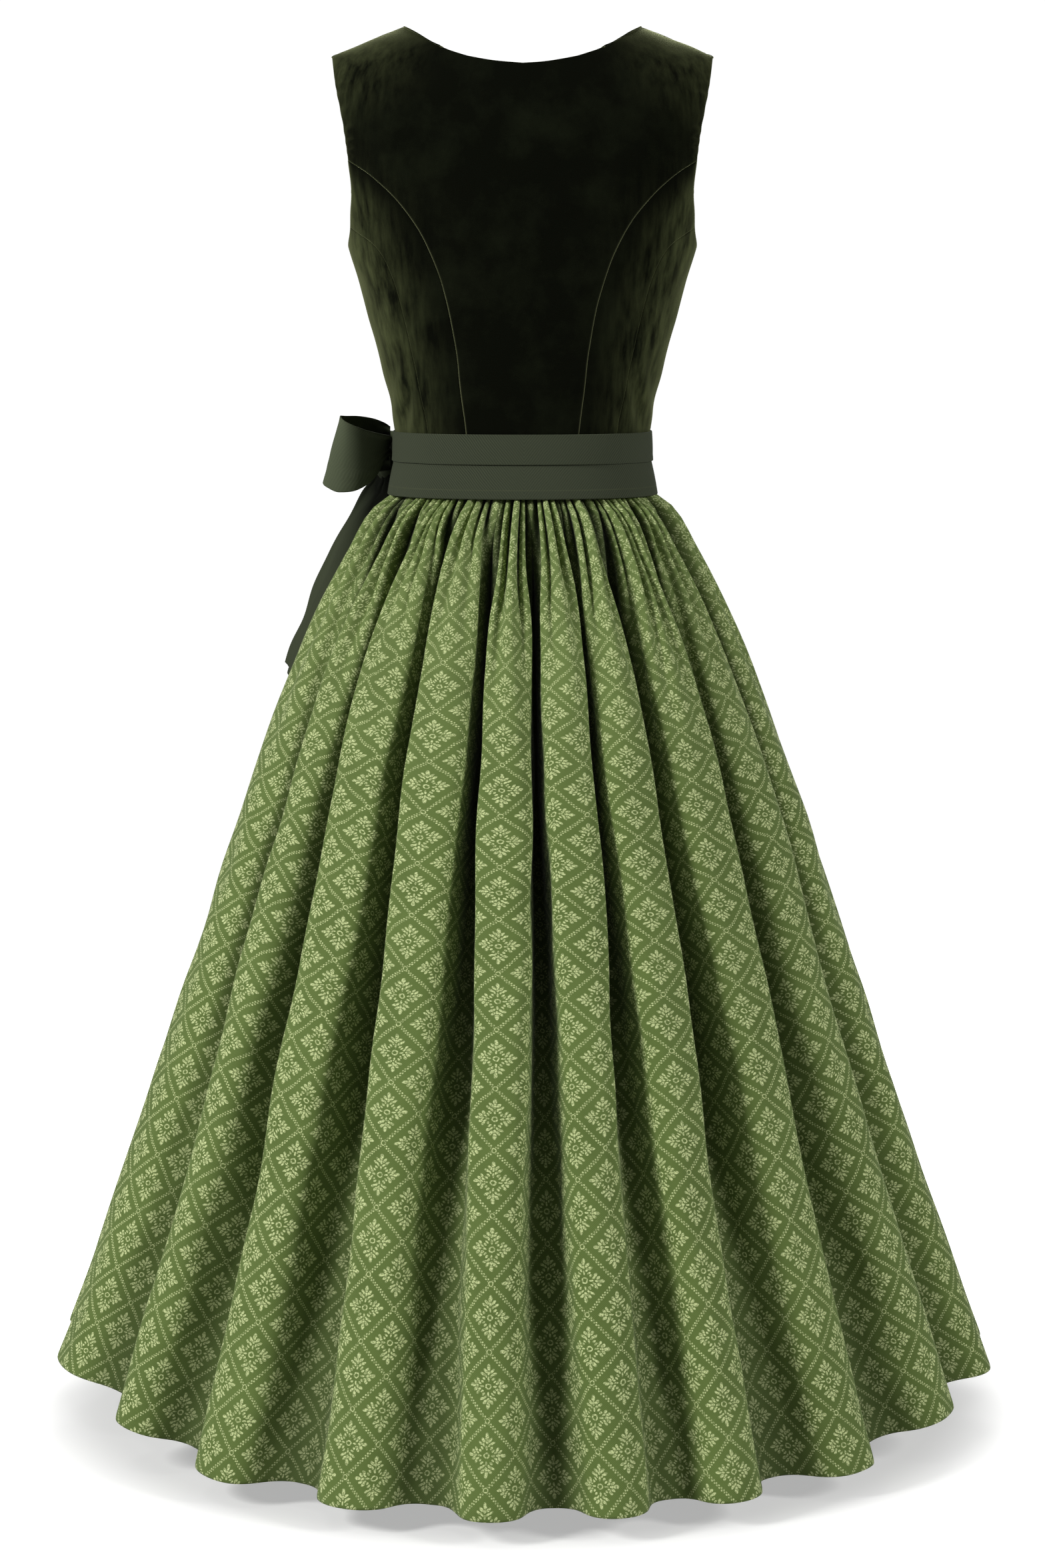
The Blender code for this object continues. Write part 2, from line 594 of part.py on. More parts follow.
def ribbon(name, stations, rows, finish):
    """A ribbon through its stations, with a shallow crown across its width."""
    places = np.arange(len(stations))
    wanted = np.linspace(0, len(stations) - 1, rows + 1)
    edges = np.array([[s[:3], s[3:]] for s in stations])
    read = np.array(
        [[smooth(places, edges[:, e, k], wanted) for k in range(3)] for e in range(2)]
    ).transpose(2, 0, 1)
    share = np.linspace(0, 1, RIBBON_COLUMNS + 1)[None, :, None]
    grid = read[:, :1] * (1 - share) + read[:, 1:] * share
    along = np.gradient(grid, axis=0)
    across = np.gradient(grid, axis=1)
    normal = np.cross(along, across)
    normal /= np.linalg.norm(normal, axis=-1, keepdims=True)
    return wall(name, grid + normal * TWILL_WALL / 2, grid - normal * TWILL_WALL / 2, finish)


def knot(finish):
    mesh = bpy.data.meshes.new("bow_knot")
    shape = bmesh.new()
    bmesh.ops.create_cube(shape, size=2.0)
    bmesh.ops.scale(shape, vec=[1.25 * half for half in KNOT_HALF], verts=shape.verts)
    shape.to_mesh(mesh)
    shape.free()
    mesh.shade_smooth()
    mesh.materials.append(finish)
    made = bpy.data.objects.new("bow_knot", mesh)
    made.location = KNOT_PLACE
    made.rotation_euler = (0.0, 0.0, KNOT_TURN)
    rounding = made.modifiers.new("rounding", "SUBSURF")
    rounding.levels = 2
    rounding.render_levels = 2
    dress.objects.link(made)


clear_scene()
dress = bpy.data.collections.new("dirndl_dress")
bpy.context.scene.collection.children.link(dress)

velvet = material("velvet_dark_olive", (0.016, 0.022, 0.010), 0.85, 0.4)
twill = material("twill_grey_green", (0.045, 0.060, 0.042), 0.75)
cotton = material("cotton_green", (0.130, 0.215, 0.060), 0.80)

centre_back(velvet)
side_pieces(velvet)
front_halves(velvet)
sash(twill)
skirt(cotton)
knot(twill)
ribbon("bow_loop_back", LOOP_BACK, LOOP_ROWS, twill)
ribbon("bow_loop_front", LOOP_FRONT, LOOP_ROWS, twill)
ribbon("bow_tail_back", TAIL_BACK, TAIL_ROWS, twill)
ribbon("bow_tail_front", TAIL_FRONT, TAIL_ROWS, twill)
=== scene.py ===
import functools
import math

import bpy
import numpy as np
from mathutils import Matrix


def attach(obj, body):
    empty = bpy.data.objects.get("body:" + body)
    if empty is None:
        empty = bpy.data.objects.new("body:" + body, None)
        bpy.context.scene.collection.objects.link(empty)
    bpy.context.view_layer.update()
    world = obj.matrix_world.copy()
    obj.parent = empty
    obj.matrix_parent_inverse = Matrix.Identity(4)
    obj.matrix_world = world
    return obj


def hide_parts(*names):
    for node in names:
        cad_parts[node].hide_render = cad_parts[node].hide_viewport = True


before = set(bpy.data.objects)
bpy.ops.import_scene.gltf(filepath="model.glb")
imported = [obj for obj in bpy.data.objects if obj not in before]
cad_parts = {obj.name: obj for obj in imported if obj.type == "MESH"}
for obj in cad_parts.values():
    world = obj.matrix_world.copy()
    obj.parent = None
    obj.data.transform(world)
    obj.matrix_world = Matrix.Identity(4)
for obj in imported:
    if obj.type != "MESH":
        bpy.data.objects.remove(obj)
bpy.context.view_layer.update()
bpy.ops.object.select_all(action="DESELECT")
print("frame loaded")


def smoothCurve(known, values, wanted):  # reads a smooth curve through known values, without overshoot
    known, values, wanted = (np.asarray(a, float) for a in (known, values, wanted))
    steps = np.diff(known)
    slopes = np.diff(values) / steps
    tangents = np.concatenate([slopes[:1], (slopes[:-1] + slopes[1:]) / 2, slopes[-1:]])
    flat = np.concatenate([[False], slopes[:-1] * slopes[1:] <= 0, [False]])
    tangents[flat] = 0.0
    place = np.clip(np.searchsorted(known, wanted, side="right") - 1, 0, len(steps) - 1)
    part = np.clip((wanted - known[place]) / steps[place], 0.0, 1.0)
    return (
        values[place] * (1 + 2 * part) * (1 - part) ** 2
        + values[place + 1] * part**2 * (3 - 2 * part)
        + tangents[place] * steps[place] * part * (1 - part) ** 2
        - tangents[place + 1] * steps[place] * part**2 * (1 - part)
    )


def readTable(rows, index, at):  # one column of a table whose first column is height
    rows = sorted(rows)
    return smoothCurve([r[0] for r in rows], [r[index] for r in rows], at)


def throughPoints(points, places):  # a smooth line through points, read at places counted in points
    points = np.asarray(points, float)
    steps = np.arange(len(points))
    return np.stack([smoothCurve(steps, points[:, k], places) for k in range(points.shape[1])], axis=-1)


def crowded(count, start=0.0, end=0.0, reach=0.1):  # shares from 0 to 1, closer together at either end
    t = np.linspace(0.0, 1.0, count + 1)
    pace = 1 - start * np.exp(-t / reach) - end * np.exp(-(1 - t) / reach)
    total = np.concatenate([[0.0], np.cumsum((pace[1:] + pace[:-1]) / 2)])
    return total / total[-1]


def ramp(value, start, run):  # 0 before the start and 1 after the run, which may lead downwards
    return np.clip((value - start) / run, 0, 1)


def near(distance, reach):  # 1 at no distance, fading to nothing beyond the reach
    return np.exp(-((distance / reach) ** 2))


def gridNormals(grid):
    normal = np.cross(np.gradient(grid, axis=1), np.gradient(grid, axis=0))
    return normal / np.maximum(np.linalg.norm(normal, axis=-1, keepdims=True), 1e-12)


def runLengths(grid, axis):  # distance along the cloth from the first row or column
    step = np.linalg.norm(np.diff(grid, axis=axis), axis=-1)
    start = np.zeros_like(np.take(step, [0], axis=axis))
    return np.concatenate([start, np.cumsum(step, axis=axis)], axis=axis)


def ripples(u, v, seed, count, lengthU, lengthV, around=None):  # soft unevenness, mostly between -1 and 1
    dice = np.random.RandomState(seed)
    total = 0.0
    for _ in range(count):
        waveU = 2 * math.pi / (lengthU * dice.uniform(0.7, 1.6))
        if around:
            waveU = max(1, round(waveU * around / (2 * math.pi))) * 2 * math.pi / around
        waveV = 2 * math.pi / (lengthV * dice.uniform(0.7, 1.6)) * dice.choice([-1, 1])
        total = total + dice.uniform(0.5, 1.0) * np.cos(waveU * u + waveV * v + dice.uniform(0, 2 * math.pi))
    return total / math.sqrt(count)


def clothPiece(name, middle, thickness, material, uv, thinEdges="first last left right", marks=None):
    # a closed shell round a grid of points, which thins out towards the edges named
    rows, columns = middle.shape[:2]
    normal = gridNormals(middle)
    along, across = runLengths(middle, 0), runLengths(middle, 1)
    distances = {"first": along, "last": along[-1:] - along, "left": across, "right": across[:, -1:] - across}
    nearest = np.full((rows, columns), 1.0)
    for edge in thinEdges.split():
        nearest = np.minimum(nearest, distances[edge])
    rim = np.clip(nearest / (0.6 * thickness), 0.0, 1.0)
    half = (thickness / 2 * np.maximum(np.sqrt(1 - (1 - rim) ** 2), 0.3))[..., None]
    sheets = (middle + half * normal, middle - half * normal)
    points = np.concatenate([sheet.reshape(-1, 3) for sheet in sheets])
    face = np.arange(rows * columns).reshape(rows, columns)
    back = face + rows * columns
    corners = (
        (face[:-1, :-1], face[:-1, 1:], face[1:, 1:], face[1:, :-1]),
        (back[1:, :-1], back[1:, 1:], back[:-1, 1:], back[:-1, :-1]),
        (face[0, 1:], face[0, :-1], back[0, :-1], back[0, 1:]),
        (face[-1, :-1], face[-1, 1:], back[-1, 1:], back[-1, :-1]),
        (face[:-1, 0], face[1:, 0], back[1:, 0], back[:-1, 0]),
        (face[1:, -1], face[:-1, -1], back[:-1, -1], back[1:, -1]),
    )
    faces = np.concatenate([np.stack([c.ravel() for c in four], axis=-1) for four in corners])
    mesh = bpy.data.meshes.new(name)
    mesh.from_pydata(points, [], faces)
    flat = np.concatenate([uv.reshape(-1, 2)] * 2)[faces.ravel()]
    mesh.uv_layers.new(name="cloth").data.foreach_set("uv", flat.astype(np.float32).ravel())
    kept = {"wrongSide": np.repeat([0.0, 1.0], rows * columns)}
    for key, values in (marks or {}).items():
        kept[key] = np.concatenate([np.broadcast_to(values, (rows, columns)).ravel()] * 2)
    for key, values in kept.items():
        mesh.attributes.new(key, "FLOAT", "POINT").data.foreach_set("value", values.astype(np.float32))
    mesh.polygons.foreach_set("use_smooth", np.ones(len(faces), bool))
    mesh.materials.append(material)
    mesh.update()
    piece = bpy.data.objects.new(name, mesh)
    bpy.context.scene.collection.objects.link(piece)
    return piece


def standFor(piece, node):  # the piece moves with the dress and stands for its plain solid
    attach(piece, "root")
    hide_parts(node)


def hexColour(code):  # sRGB hex to linear
    channels = [int(code[i:i + 2], 16) / 255 for i in (1, 3, 5)]
    return [c / 12.92 if c <= 0.04045 else ((c + 0.055) / 1.055) ** 2.4 for c in channels] + [1.0]


def addNode(tree, kind, inputs=(), **settings):  # an input takes a value, a socket or a node's own result
    kind, _, operation = kind.partition(" ")  # as in "Math ADD"
    node = tree.nodes.new("ShaderNode" + kind)
    if operation:
        node.operation = operation
    for key, value in settings.items():
        setattr(node, key, value)
    for key, value in inputs.items() if isinstance(inputs, dict) else enumerate(inputs):
        if isinstance(value, bpy.types.Node):
            value = next(output for output in value.outputs if output.enabled)
        if isinstance(value, bpy.types.NodeSocket):
            tree.links.new(value, node.inputs[key])
        else:
            node.inputs[key].default_value = value
    return node


def emptyNodes(owner):  # clears a material or a world and gives the function that adds nodes to it
    owner.use_nodes = True
    owner.node_tree.nodes.clear()
    return functools.partial(addNode, owner.node_tree)


def finished(material, add, surface):  # constants are set on the shader's own sockets
    add("OutputMaterial", [add("BsdfPrincipled", surface)])
    return material


studio = {
    "cameraPlace": (0.0, -3.6, -0.22), "tiltDown": 0.1364, "lens": 85, "sensor": 36,
    "floorZ": -1.332, "floorSize": 5.0, "floorColour": "#c8c8c6", "backdrop": 1.05, "skyLight": 0.04,
    # the paper's glow is lowered close to the dress, a painted shadow on the floor under the hem
    "glowWithPaintedShadow": (0.42, 1.05), "paintedShadowReach": (0.41, 0.55), "paperBounce": 0.10,  # the paper is overexposed
    "lights": (  # place, aim, size, power in watts
        ((-3.4, -2.1, 1.4), (0.0, 0.0, -0.6), 1.2, 150),
        ((3.5, -1.9, 1.1), (0.0, 0.0, -0.6), 1.2, 84),
        ((0.3, 3.2, 1.5), (0.0, 0.0, -0.5), 2.0, 60),
        ((-1.6, -1.0, 3.4), (0.0, 0.0, -0.6), 1.5, 10),
    ),
}

cameraData = bpy.data.cameras.new("studioCamera")
cameraData.lens, cameraData.sensor_width, cameraData.clip_end = studio["lens"], studio["sensor"], 300
cameraObject = bpy.data.objects.new("studioCamera", cameraData)
cameraObject.location = studio["cameraPlace"]
cameraObject.rotation_euler = (math.pi / 2 - studio["tiltDown"], 0, 0)
bpy.context.scene.collection.objects.link(cameraObject)
bpy.context.scene.camera = cameraObject
bpy.context.scene.view_settings.view_transform = "Standard"

bpy.ops.mesh.primitive_plane_add(size=studio["floorSize"], location=(0, 0, studio["floorZ"]))
floor = bpy.context.object
floor.name = "studioFloor"
paper = bpy.data.materials.new("matteBackgroundPaper")
add = emptyNodes(paper)
fromDress = add("VectorMath LENGTH", [add("TexCoord").outputs["Object"]])
# painted shadow: the paper glows less close to the dress, so the floor shows darker under the hem
glowAndPaintedShadow = add("MapRange", {
    "Value": fromDress, "From Min": studio["paintedShadowReach"][0], "From Max": studio["paintedShadowReach"][1],
    "To Min": studio["glowWithPaintedShadow"][0], "To Max": studio["glowWithPaintedShadow"][1]}, interpolation_type="SMOOTHSTEP")
seen = add("LightPath").outputs["Is Camera Ray"]
direct = add("MapRange", {"Value": seen, "To Min": studio["paperBounce"]})
glowAndPaintedShadow = add("Math MULTIPLY", [glowAndPaintedShadow, direct])
floor.data.materials.append(finished(paper, add, {
    "Base Color": hexColour(studio["floorColour"]), "Roughness": 0.95, "Specular IOR Level": 0.1,
    "Emission Color": (1, 1, 1, 1), "Emission Strength": glowAndPaintedShadow}))

for number, (place, aim, size, power) in enumerate(studio["lights"]):
    lamp = bpy.data.lights.new(f"softbox{number}", "AREA")
    lamp.shape, lamp.size, lamp.energy = "DISK", size, power
    holder = bpy.data.objects.new(f"softbox{number}", lamp)
    holder.location = place
    toward = np.array(aim) - np.array(place)
    flatRun = math.hypot(toward[0], toward[1])
    holder.rotation_euler = (math.atan2(flatRun, -toward[2]), 0, math.atan2(-toward[0], toward[1]))
    bpy.context.scene.collection.objects.link(holder)

world = bpy.data.worlds.new("studioLight")
add = emptyNodes(world)
sky = add("Background", {"Color": (1, 1, 1, 1), "Strength": studio["skyLight"]})
backdrop = add("Background", {"Color": (1, 1, 1, 1), "Strength": studio["backdrop"]})
seen = add("LightPath").outputs["Is Camera Ray"]
add("OutputWorld", [add("MixShader", [seen, sky, backdrop])])
bpy.context.scene.world = world
print("camera, floor and lights")


velvetLook = {
    "pile": "#070903", "mottled": "#14180c", "paintedPileSheen": "#525838", "paintedGrazingSheen": "#575c3e", "seam": "#63664a",
    "wrongSide": "#10130b", "sheen": "#b9c08f",
    "mottledSize": 0.05, "pileGrain": 0.0009, "streakSize": (0.009, 0.009, 0.050),  # in metres
}


def cottonVelvet():  # short dense pile: nearly black straight on, with a painted sheen that makes it paler where it turns away, at the sides, on the shoulders and along the arm holes
    look = velvetLook
    material = bpy.data.materials.new("cottonVelvetCutPile")
    add = emptyNodes(material)
    place = add("TexCoord").outputs["Object"]
    cloud = add("TexNoise", {
        "Vector": place, "Scale": 1 / look["mottledSize"], "Detail": 5.0, "Roughness": 0.62})
    mottled = add("MapRange", {"Value": cloud, "From Min": 0.45, "From Max": 0.75})
    perStreak = [1 / size for size in look["streakSize"]]
    stretched = add("VectorMath MULTIPLY", [place, perStreak])
    streaks = add("TexNoise", {"Vector": stretched, "Scale": 1.0, "Detail": 5.0, "Roughness": 0.6})
    streaks = add("MapRange", {"Value": streaks, "From Min": 0.34, "From Max": 0.72})
    # painted sheen at the sides, shoulders and arm holes, broken up by streaks in the pile
    paintedPileSheen = add("Attribute", attribute_name="pileSheenMask").outputs["Fac"]
    paintedPileSheen = add("Math MULTIPLY", [paintedPileSheen, streaks])
    # painted sheen: the pile is painted paler where its surface turns away from view
    paintedGrazingSheen = add("LayerWeight", {"Blend": 0.35}).outputs["Facing"]
    paintedGrazingSheen = add("MapRange", {"Value": paintedGrazingSheen, "From Min": 0.25, "From Max": 1.0})
    seam = add("Attribute", attribute_name="paleSeamLine").outputs["Fac"]
    wrong = add("Attribute", attribute_name="wrongSide").outputs["Fac"]
    colour = hexColour(look["pile"])
    for share, over in ((mottled, "mottled"), (paintedPileSheen, "paintedPileSheen"), (paintedGrazingSheen, "paintedGrazingSheen"), (seam, "seam"),
                        (wrong, "wrongSide")):
        colour = add("Mix", {0: share, 6: colour, 7: hexColour(look[over])}, data_type="RGBA")
    grain = add("TexNoise", {"Vector": place, "Scale": 1 / look["pileGrain"], "Detail": 1.0})
    bump = add("Bump", {"Height": grain, "Strength": 0.35, "Distance": 0.0005})
    return finished(material, add, {
        "Base Color": colour, "Normal": bump, "Roughness": 0.95, "Specular IOR Level": 0.06,
        "Sheen Weight": 1.0, "Sheen Roughness": 0.28, "Sheen Tint": hexColour(look["sheen"])})


twillLook = {
    # 0b0d08 is the painted shade in and near the bow's knot
    "cloth": "#32372a", "line": "#464c3a", "stitch": "#474c38", "paintedCreaseShade": "#0b0d08", "sheen": "#9aa090",
    # the bow's twill is painted lighter by the first factor here, standing for light
    "bowPaintedLight": 1.95, "rib": 0.0021, "steepness": 52,  # the ribs' spacing in metres and slant in degrees
    "stitchRise": 0.0085, "stitchWide": 0.0005, "stitchLong": 0.0026,  # in metres
}


def wovenTwill(name, mirrored=False, stitched=False, tied=False):
    # soft matt twill with faint slanting ribs, drawn 2 mm apart so that they show
    look = twillLook
    material = bpy.data.materials.new(name)
    add = emptyNodes(material)
    flat = add("UVMap", uv_map="cloth")
    across, up = add("SeparateXYZ", [flat]).outputs[:2]
    slanted = across
    if mirrored:  # the ribs lean the other way on each side of the centre back
        slanted = add("Math ABSOLUTE", [across])
    lean = math.radians(look["steepness"])
    place = add("Math MULTIPLY", [slanted, math.sin(lean)])
    place = add("Math MULTIPLY_ADD", [up, -math.cos(lean), place])
    wobble = add("TexNoise", {"Vector": flat, "Scale": 60.0, "Detail": 2.0})
    place = add("Math MULTIPLY_ADD", [wobble, 0.0022, place])
    turns = add("Math MULTIPLY", [place, 2 * math.pi / look["rib"]])
    wave = add("Math SINE", [turns])
    patchy = add("TexNoise", {"Vector": flat, "Scale": 14.0, "Detail": 3.0})
    shown = add("MapRange", {
        "Value": patchy, "From Min": 0.35, "From Max": 0.65,
        "To Min": 0.05 if tied else 0.2, "To Max": 0.15 if tied else 0.5})
    rib = add("Math MULTIPLY_ADD", [wave, shown, 0.5])
    colour = add("Mix", {0: rib, 6: hexColour(look["cloth"]), 7: hexColour(look["line"])}, data_type="RGBA")
    if stitched:  # a row of machine stitches above the lower edge
        rise = add("Math SUBTRACT", [up, look["stitchRise"]])
        rise = add("Math ABSOLUTE", [rise])
        band = add("Math LESS_THAN", [rise, look["stitchWide"]])
        dash = add("Math FLOORED_MODULO", [across, look["stitchLong"]])
        dash = add("Math LESS_THAN", [dash, 0.75 * look["stitchLong"]])
        stitch = add("Math MULTIPLY", [band, dash])
        colour = add("Mix", {0: stitch, 6: colour, 7: hexColour(look["stitch"])}, data_type="RGBA")
    if tied:  # the bow's twill is painted paler than the sash's, standing for light, and painted nearly black as painted shade in and near the knot
        paintedPaler = add("HueSaturation", {"Color": colour, "Value": look["bowPaintedLight"]})
        shadeAtKnot = add("Attribute", attribute_name="paintedKnotShade").outputs["Fac"]
        colour = add("Mix", {0: shadeAtKnot, 6: paintedPaler, 7: hexColour(look["paintedCreaseShade"])}, data_type="RGBA")
    bump = add("Bump", {"Height": rib, "Strength": 0.4, "Distance": 0.0004})
    return finished(material, add, {
        "Base Color": colour, "Normal": bump, "Roughness": 0.85, "Specular IOR Level": 0.05 if tied else 0.15,
        "Sheen Weight": 0.03 if tied else 0.15, "Sheen Roughness": 0.5,
        "Sheen Tint": hexColour(look["sheen"])})


printLook = {
    "ground": "#708545", "groundDeep": "#5e7137", "ink": "#dae5a6", "paintedFoldShade": "#161e08",
    "wrongSide": "#7d8b5c",
    "width": 0.052, "height": 0.059,  # one diamond, in metres
    "pearls": 14, "pearlRow": 0.75, "pearlSize": 0.80,  # along one side of the diamond, then millimetres
    "ring": (1.95, 0.5), "centreRing": (2.1, 0.6),  # radius and half the line's width, in millimetres
    "leaves": (  # across, along, turn in degrees, half width, half length, in millimetres of the upright arm
        (0.0, 16.4, 0, 1.6, 3.0),
        (2.9, 13.3, -42, 1.3, 2.5),
        (5.2, 10.7, -58, 1.2, 2.3),
        (0.0, 11.6, 0, 1.1, 1.9),
        (2.5, 9.1, -30, 0.95, 1.8),
        (0.0, 6.7, 0, 0.85, 2.1),
        (4.1, 6.4, -45, 0.95, 1.7),
    ),
    "sideways": 0.86,  # the level arms are shorter
    "thread": 0.0009,  # drawn about three times as coarse as real yarn, so that the weave shows
    "speck": 0.0015, "wobble": 0.0016,  # size of the worn specks and how far the outlines stray, in metres
    "rubbed": 0.05, "rubbedSpreads": 1.2, "foldShadeStrength": 0.92,  # wear, the haze it leaves, and how dark the painted shade in the folds is
}


def printedCotton():  # plain weave with a pale pigment print: a pearl lattice and a rosette in each diamond
    look = printLook
    material = bpy.data.materials.new("plainWovenCottonPigmentPrint")
    add = emptyNodes(material)
    flat = add("UVMap", uv_map="cloth")
    wander = add("TexNoise", {"Vector": flat, "Scale": 240.0, "Detail": 1.0}).outputs["Color"]
    shake = (look["wobble"], look["wobble"], 0)  # the screen never sits quite still on the cloth
    printed = add("VectorMath MULTIPLY_ADD", [wander, shake, flat])
    wide, high = look["width"], look["height"]
    folded = []  # place within the diamond along both its directions, from -0.5 to 0.5
    for slope in (1 / high, -1 / high):
        counted = add("VectorMath DOT_PRODUCT", [printed, (1 / wide, slope, 0)])
        shifted = add("Math ADD", [counted, 0.5])
        share = add("Math FRACT", [shifted])
        folded.append(add("Math SUBTRACT", [share, 0.5]))
    both = add("CombineXYZ", [folded[0], folded[1]])
    wide, high = 1000 * wide, 1000 * high  # millimetres from here on
    level = add("VectorMath DOT_PRODUCT", [both, (wide / 2, wide / 2, 0)])
    upright = add("VectorMath DOT_PRODUCT", [both, (high / 2, -high / 2, 0)])
    local = add("CombineXYZ", [level, upright])
    quarter = add("VectorMath ABSOLUTE", [local])

    nearest = None  # how far from the nearest leaf's middle, where 1 is that leaf's edge
    for across, along, turn, halfWide, halfLong in look["leaves"]:
        for swapped in (False, True):
            size = look["sideways"] if swapped else 1.0
            spot = (along * size, across, 0) if swapped else (across, along, 0)
            angle = math.radians(-90 - turn if swapped else turn)
            leaf = add("Mapping", {
                "Vector": quarter, "Location": spot, "Rotation": (0, 0, angle),
                "Scale": (halfWide, halfLong * size, 1)}, vector_type="TEXTURE")
            reach = add("VectorMath LENGTH", [leaf])
            if nearest:
                reach = add("Math MINIMUM", [nearest, reach])
            nearest = reach
    fromMiddle = add("VectorMath LENGTH", [local])

    side = math.hypot(wide, high) / 2
    spacing = wide * high / (2 * side)  # between parallel lattice lines
    offLine = []
    for share in folded:
        off = add("Math ABSOLUTE", [share])
        off = add("Math MULTIPLY_ADD", [off, -spacing, spacing / 2])
        offLine.append(off)
    offCrossing = add("CombineXYZ", [offLine[0], offLine[1]])
    offCrossing = add("VectorMath LENGTH", [offCrossing])
    clear = add("Math GREATER_THAN", [offCrossing, sum(look["ring"]) + 0.7])
    apart = side / look["pearls"]
    inked = []
    for line, run, rowSide in ((offLine[0], folded[1], folded[0]), (offLine[1], folded[0], folded[1])):
        late = add("MapRange", {  # the two rows are staggered
            "Value": rowSide, "From Min": -0.01, "From Max": 0.01, "To Max": 0.5})
        beads = add("Math MULTIPLY_ADD", [run, look["pearls"], late])
        bead = add("Math FRACT", [beads])
        alongBead = add("Math MULTIPLY_ADD", [bead, apart, -apart / 2])
        offRow = add("Math SUBTRACT", [line, look["pearlRow"]])
        away = add("CombineXYZ", [alongBead, offRow])
        away = add("VectorMath LENGTH", [away])
        pearl = add("MapRange", {
            "Value": away, "From Min": look["pearlSize"] + 0.2, "From Max": look["pearlSize"] - 0.3})
        inked.append(add("Math MULTIPLY", [pearl, clear]))
    inked.append(add("MapRange", {"Value": nearest, "From Min": 1.12, "From Max": 0.8}))
    for distance, (radius, line) in ((offCrossing, look["ring"]), (fromMiddle, look["centreRing"])):
        off = add("Math SUBTRACT", [distance, radius])
        off = add("Math ABSOLUTE", [off])
        inked.append(add("MapRange", {"Value": off, "From Min": line + 0.2, "From Max": line - 0.25}))
    ink = inked[0]
    for other in inked[1:]:
        ink = add("Math MAXIMUM", [ink, other])
    speckle = add("TexNoise", {"Vector": flat, "Scale": 1 / look["speck"], "Detail": 2.0})
    fromWaist = add("SeparateXYZ", [flat]).outputs["Y"]
    rubbed = add("MapRange", {  # most of all near the waist
        "Value": fromWaist, "From Min": -0.46, "From Max": -0.06, "To Max": look["rubbed"]})
    kept = add("Math SUBTRACT", [speckle, rubbed])
    worn = add("MapRange", {  # the ink sits on the raised threads
        "Value": kept, "From Min": 0.41, "From Max": 0.56, "To Min": 0.25})
    ink = add("Math MULTIPLY", [ink, worn])
    ink = add("Math MULTIPLY_ADD", [rubbed, look["rubbedSpreads"], ink])

    cloud = add("TexNoise", {"Vector": flat, "Scale": 9.0, "Detail": 9.0, "Roughness": 0.72})
    weave = add("TexChecker", {"Vector": flat, "Scale": 1 / look["thread"]}).outputs["Fac"]
    cloud = add("Math MULTIPLY_ADD", [weave, 0.3, cloud])
    cloud = add("MapRange", {"Value": cloud, "From Min": 0.35, "From Max": 0.90})
    foldShadeMask = add("Attribute", attribute_name="foldShadeMask").outputs["Fac"]
    foldShade = add("MapRange", {  # painted shade: the cloth is painted darkest down in the folds
        "Value": foldShadeMask, "From Min": 0.14, "From Max": 0.86, "To Max": look["foldShadeStrength"]})
    wrong = add("Attribute", attribute_name="wrongSide").outputs["Fac"]
    faded = add("Math MULTIPLY", [wrong, 0.75])
    colour = hexColour(look["ground"])
    for share, over in ((cloud, "groundDeep"), (ink, "ink"), (foldShade, "paintedFoldShade"), (faded, "wrongSide")):
        colour = add("Mix", {0: share, 6: colour, 7: hexColour(look[over])}, data_type="RGBA")
    bump = add("Bump", {"Height": weave, "Strength": 0.12, "Distance": 0.0002})
    return finished(material, add, {
        "Base Color": colour, "Normal": bump, "Roughness": 0.82, "Specular IOR Level": 0.2,
        "Sheen Weight": 0.12, "Sheen Roughness": 0.5})


velvet = cottonVelvet()
sashTwill = wovenTwill("wovenTwillSash", mirrored=True)
hemmedTwill = wovenTwill("wovenTwillSashStitched", mirrored=True, stitched=True)
bowTwill = wovenTwill("wovenTwillBow", tied=True)
cotton = printedCotton()
print("materials")


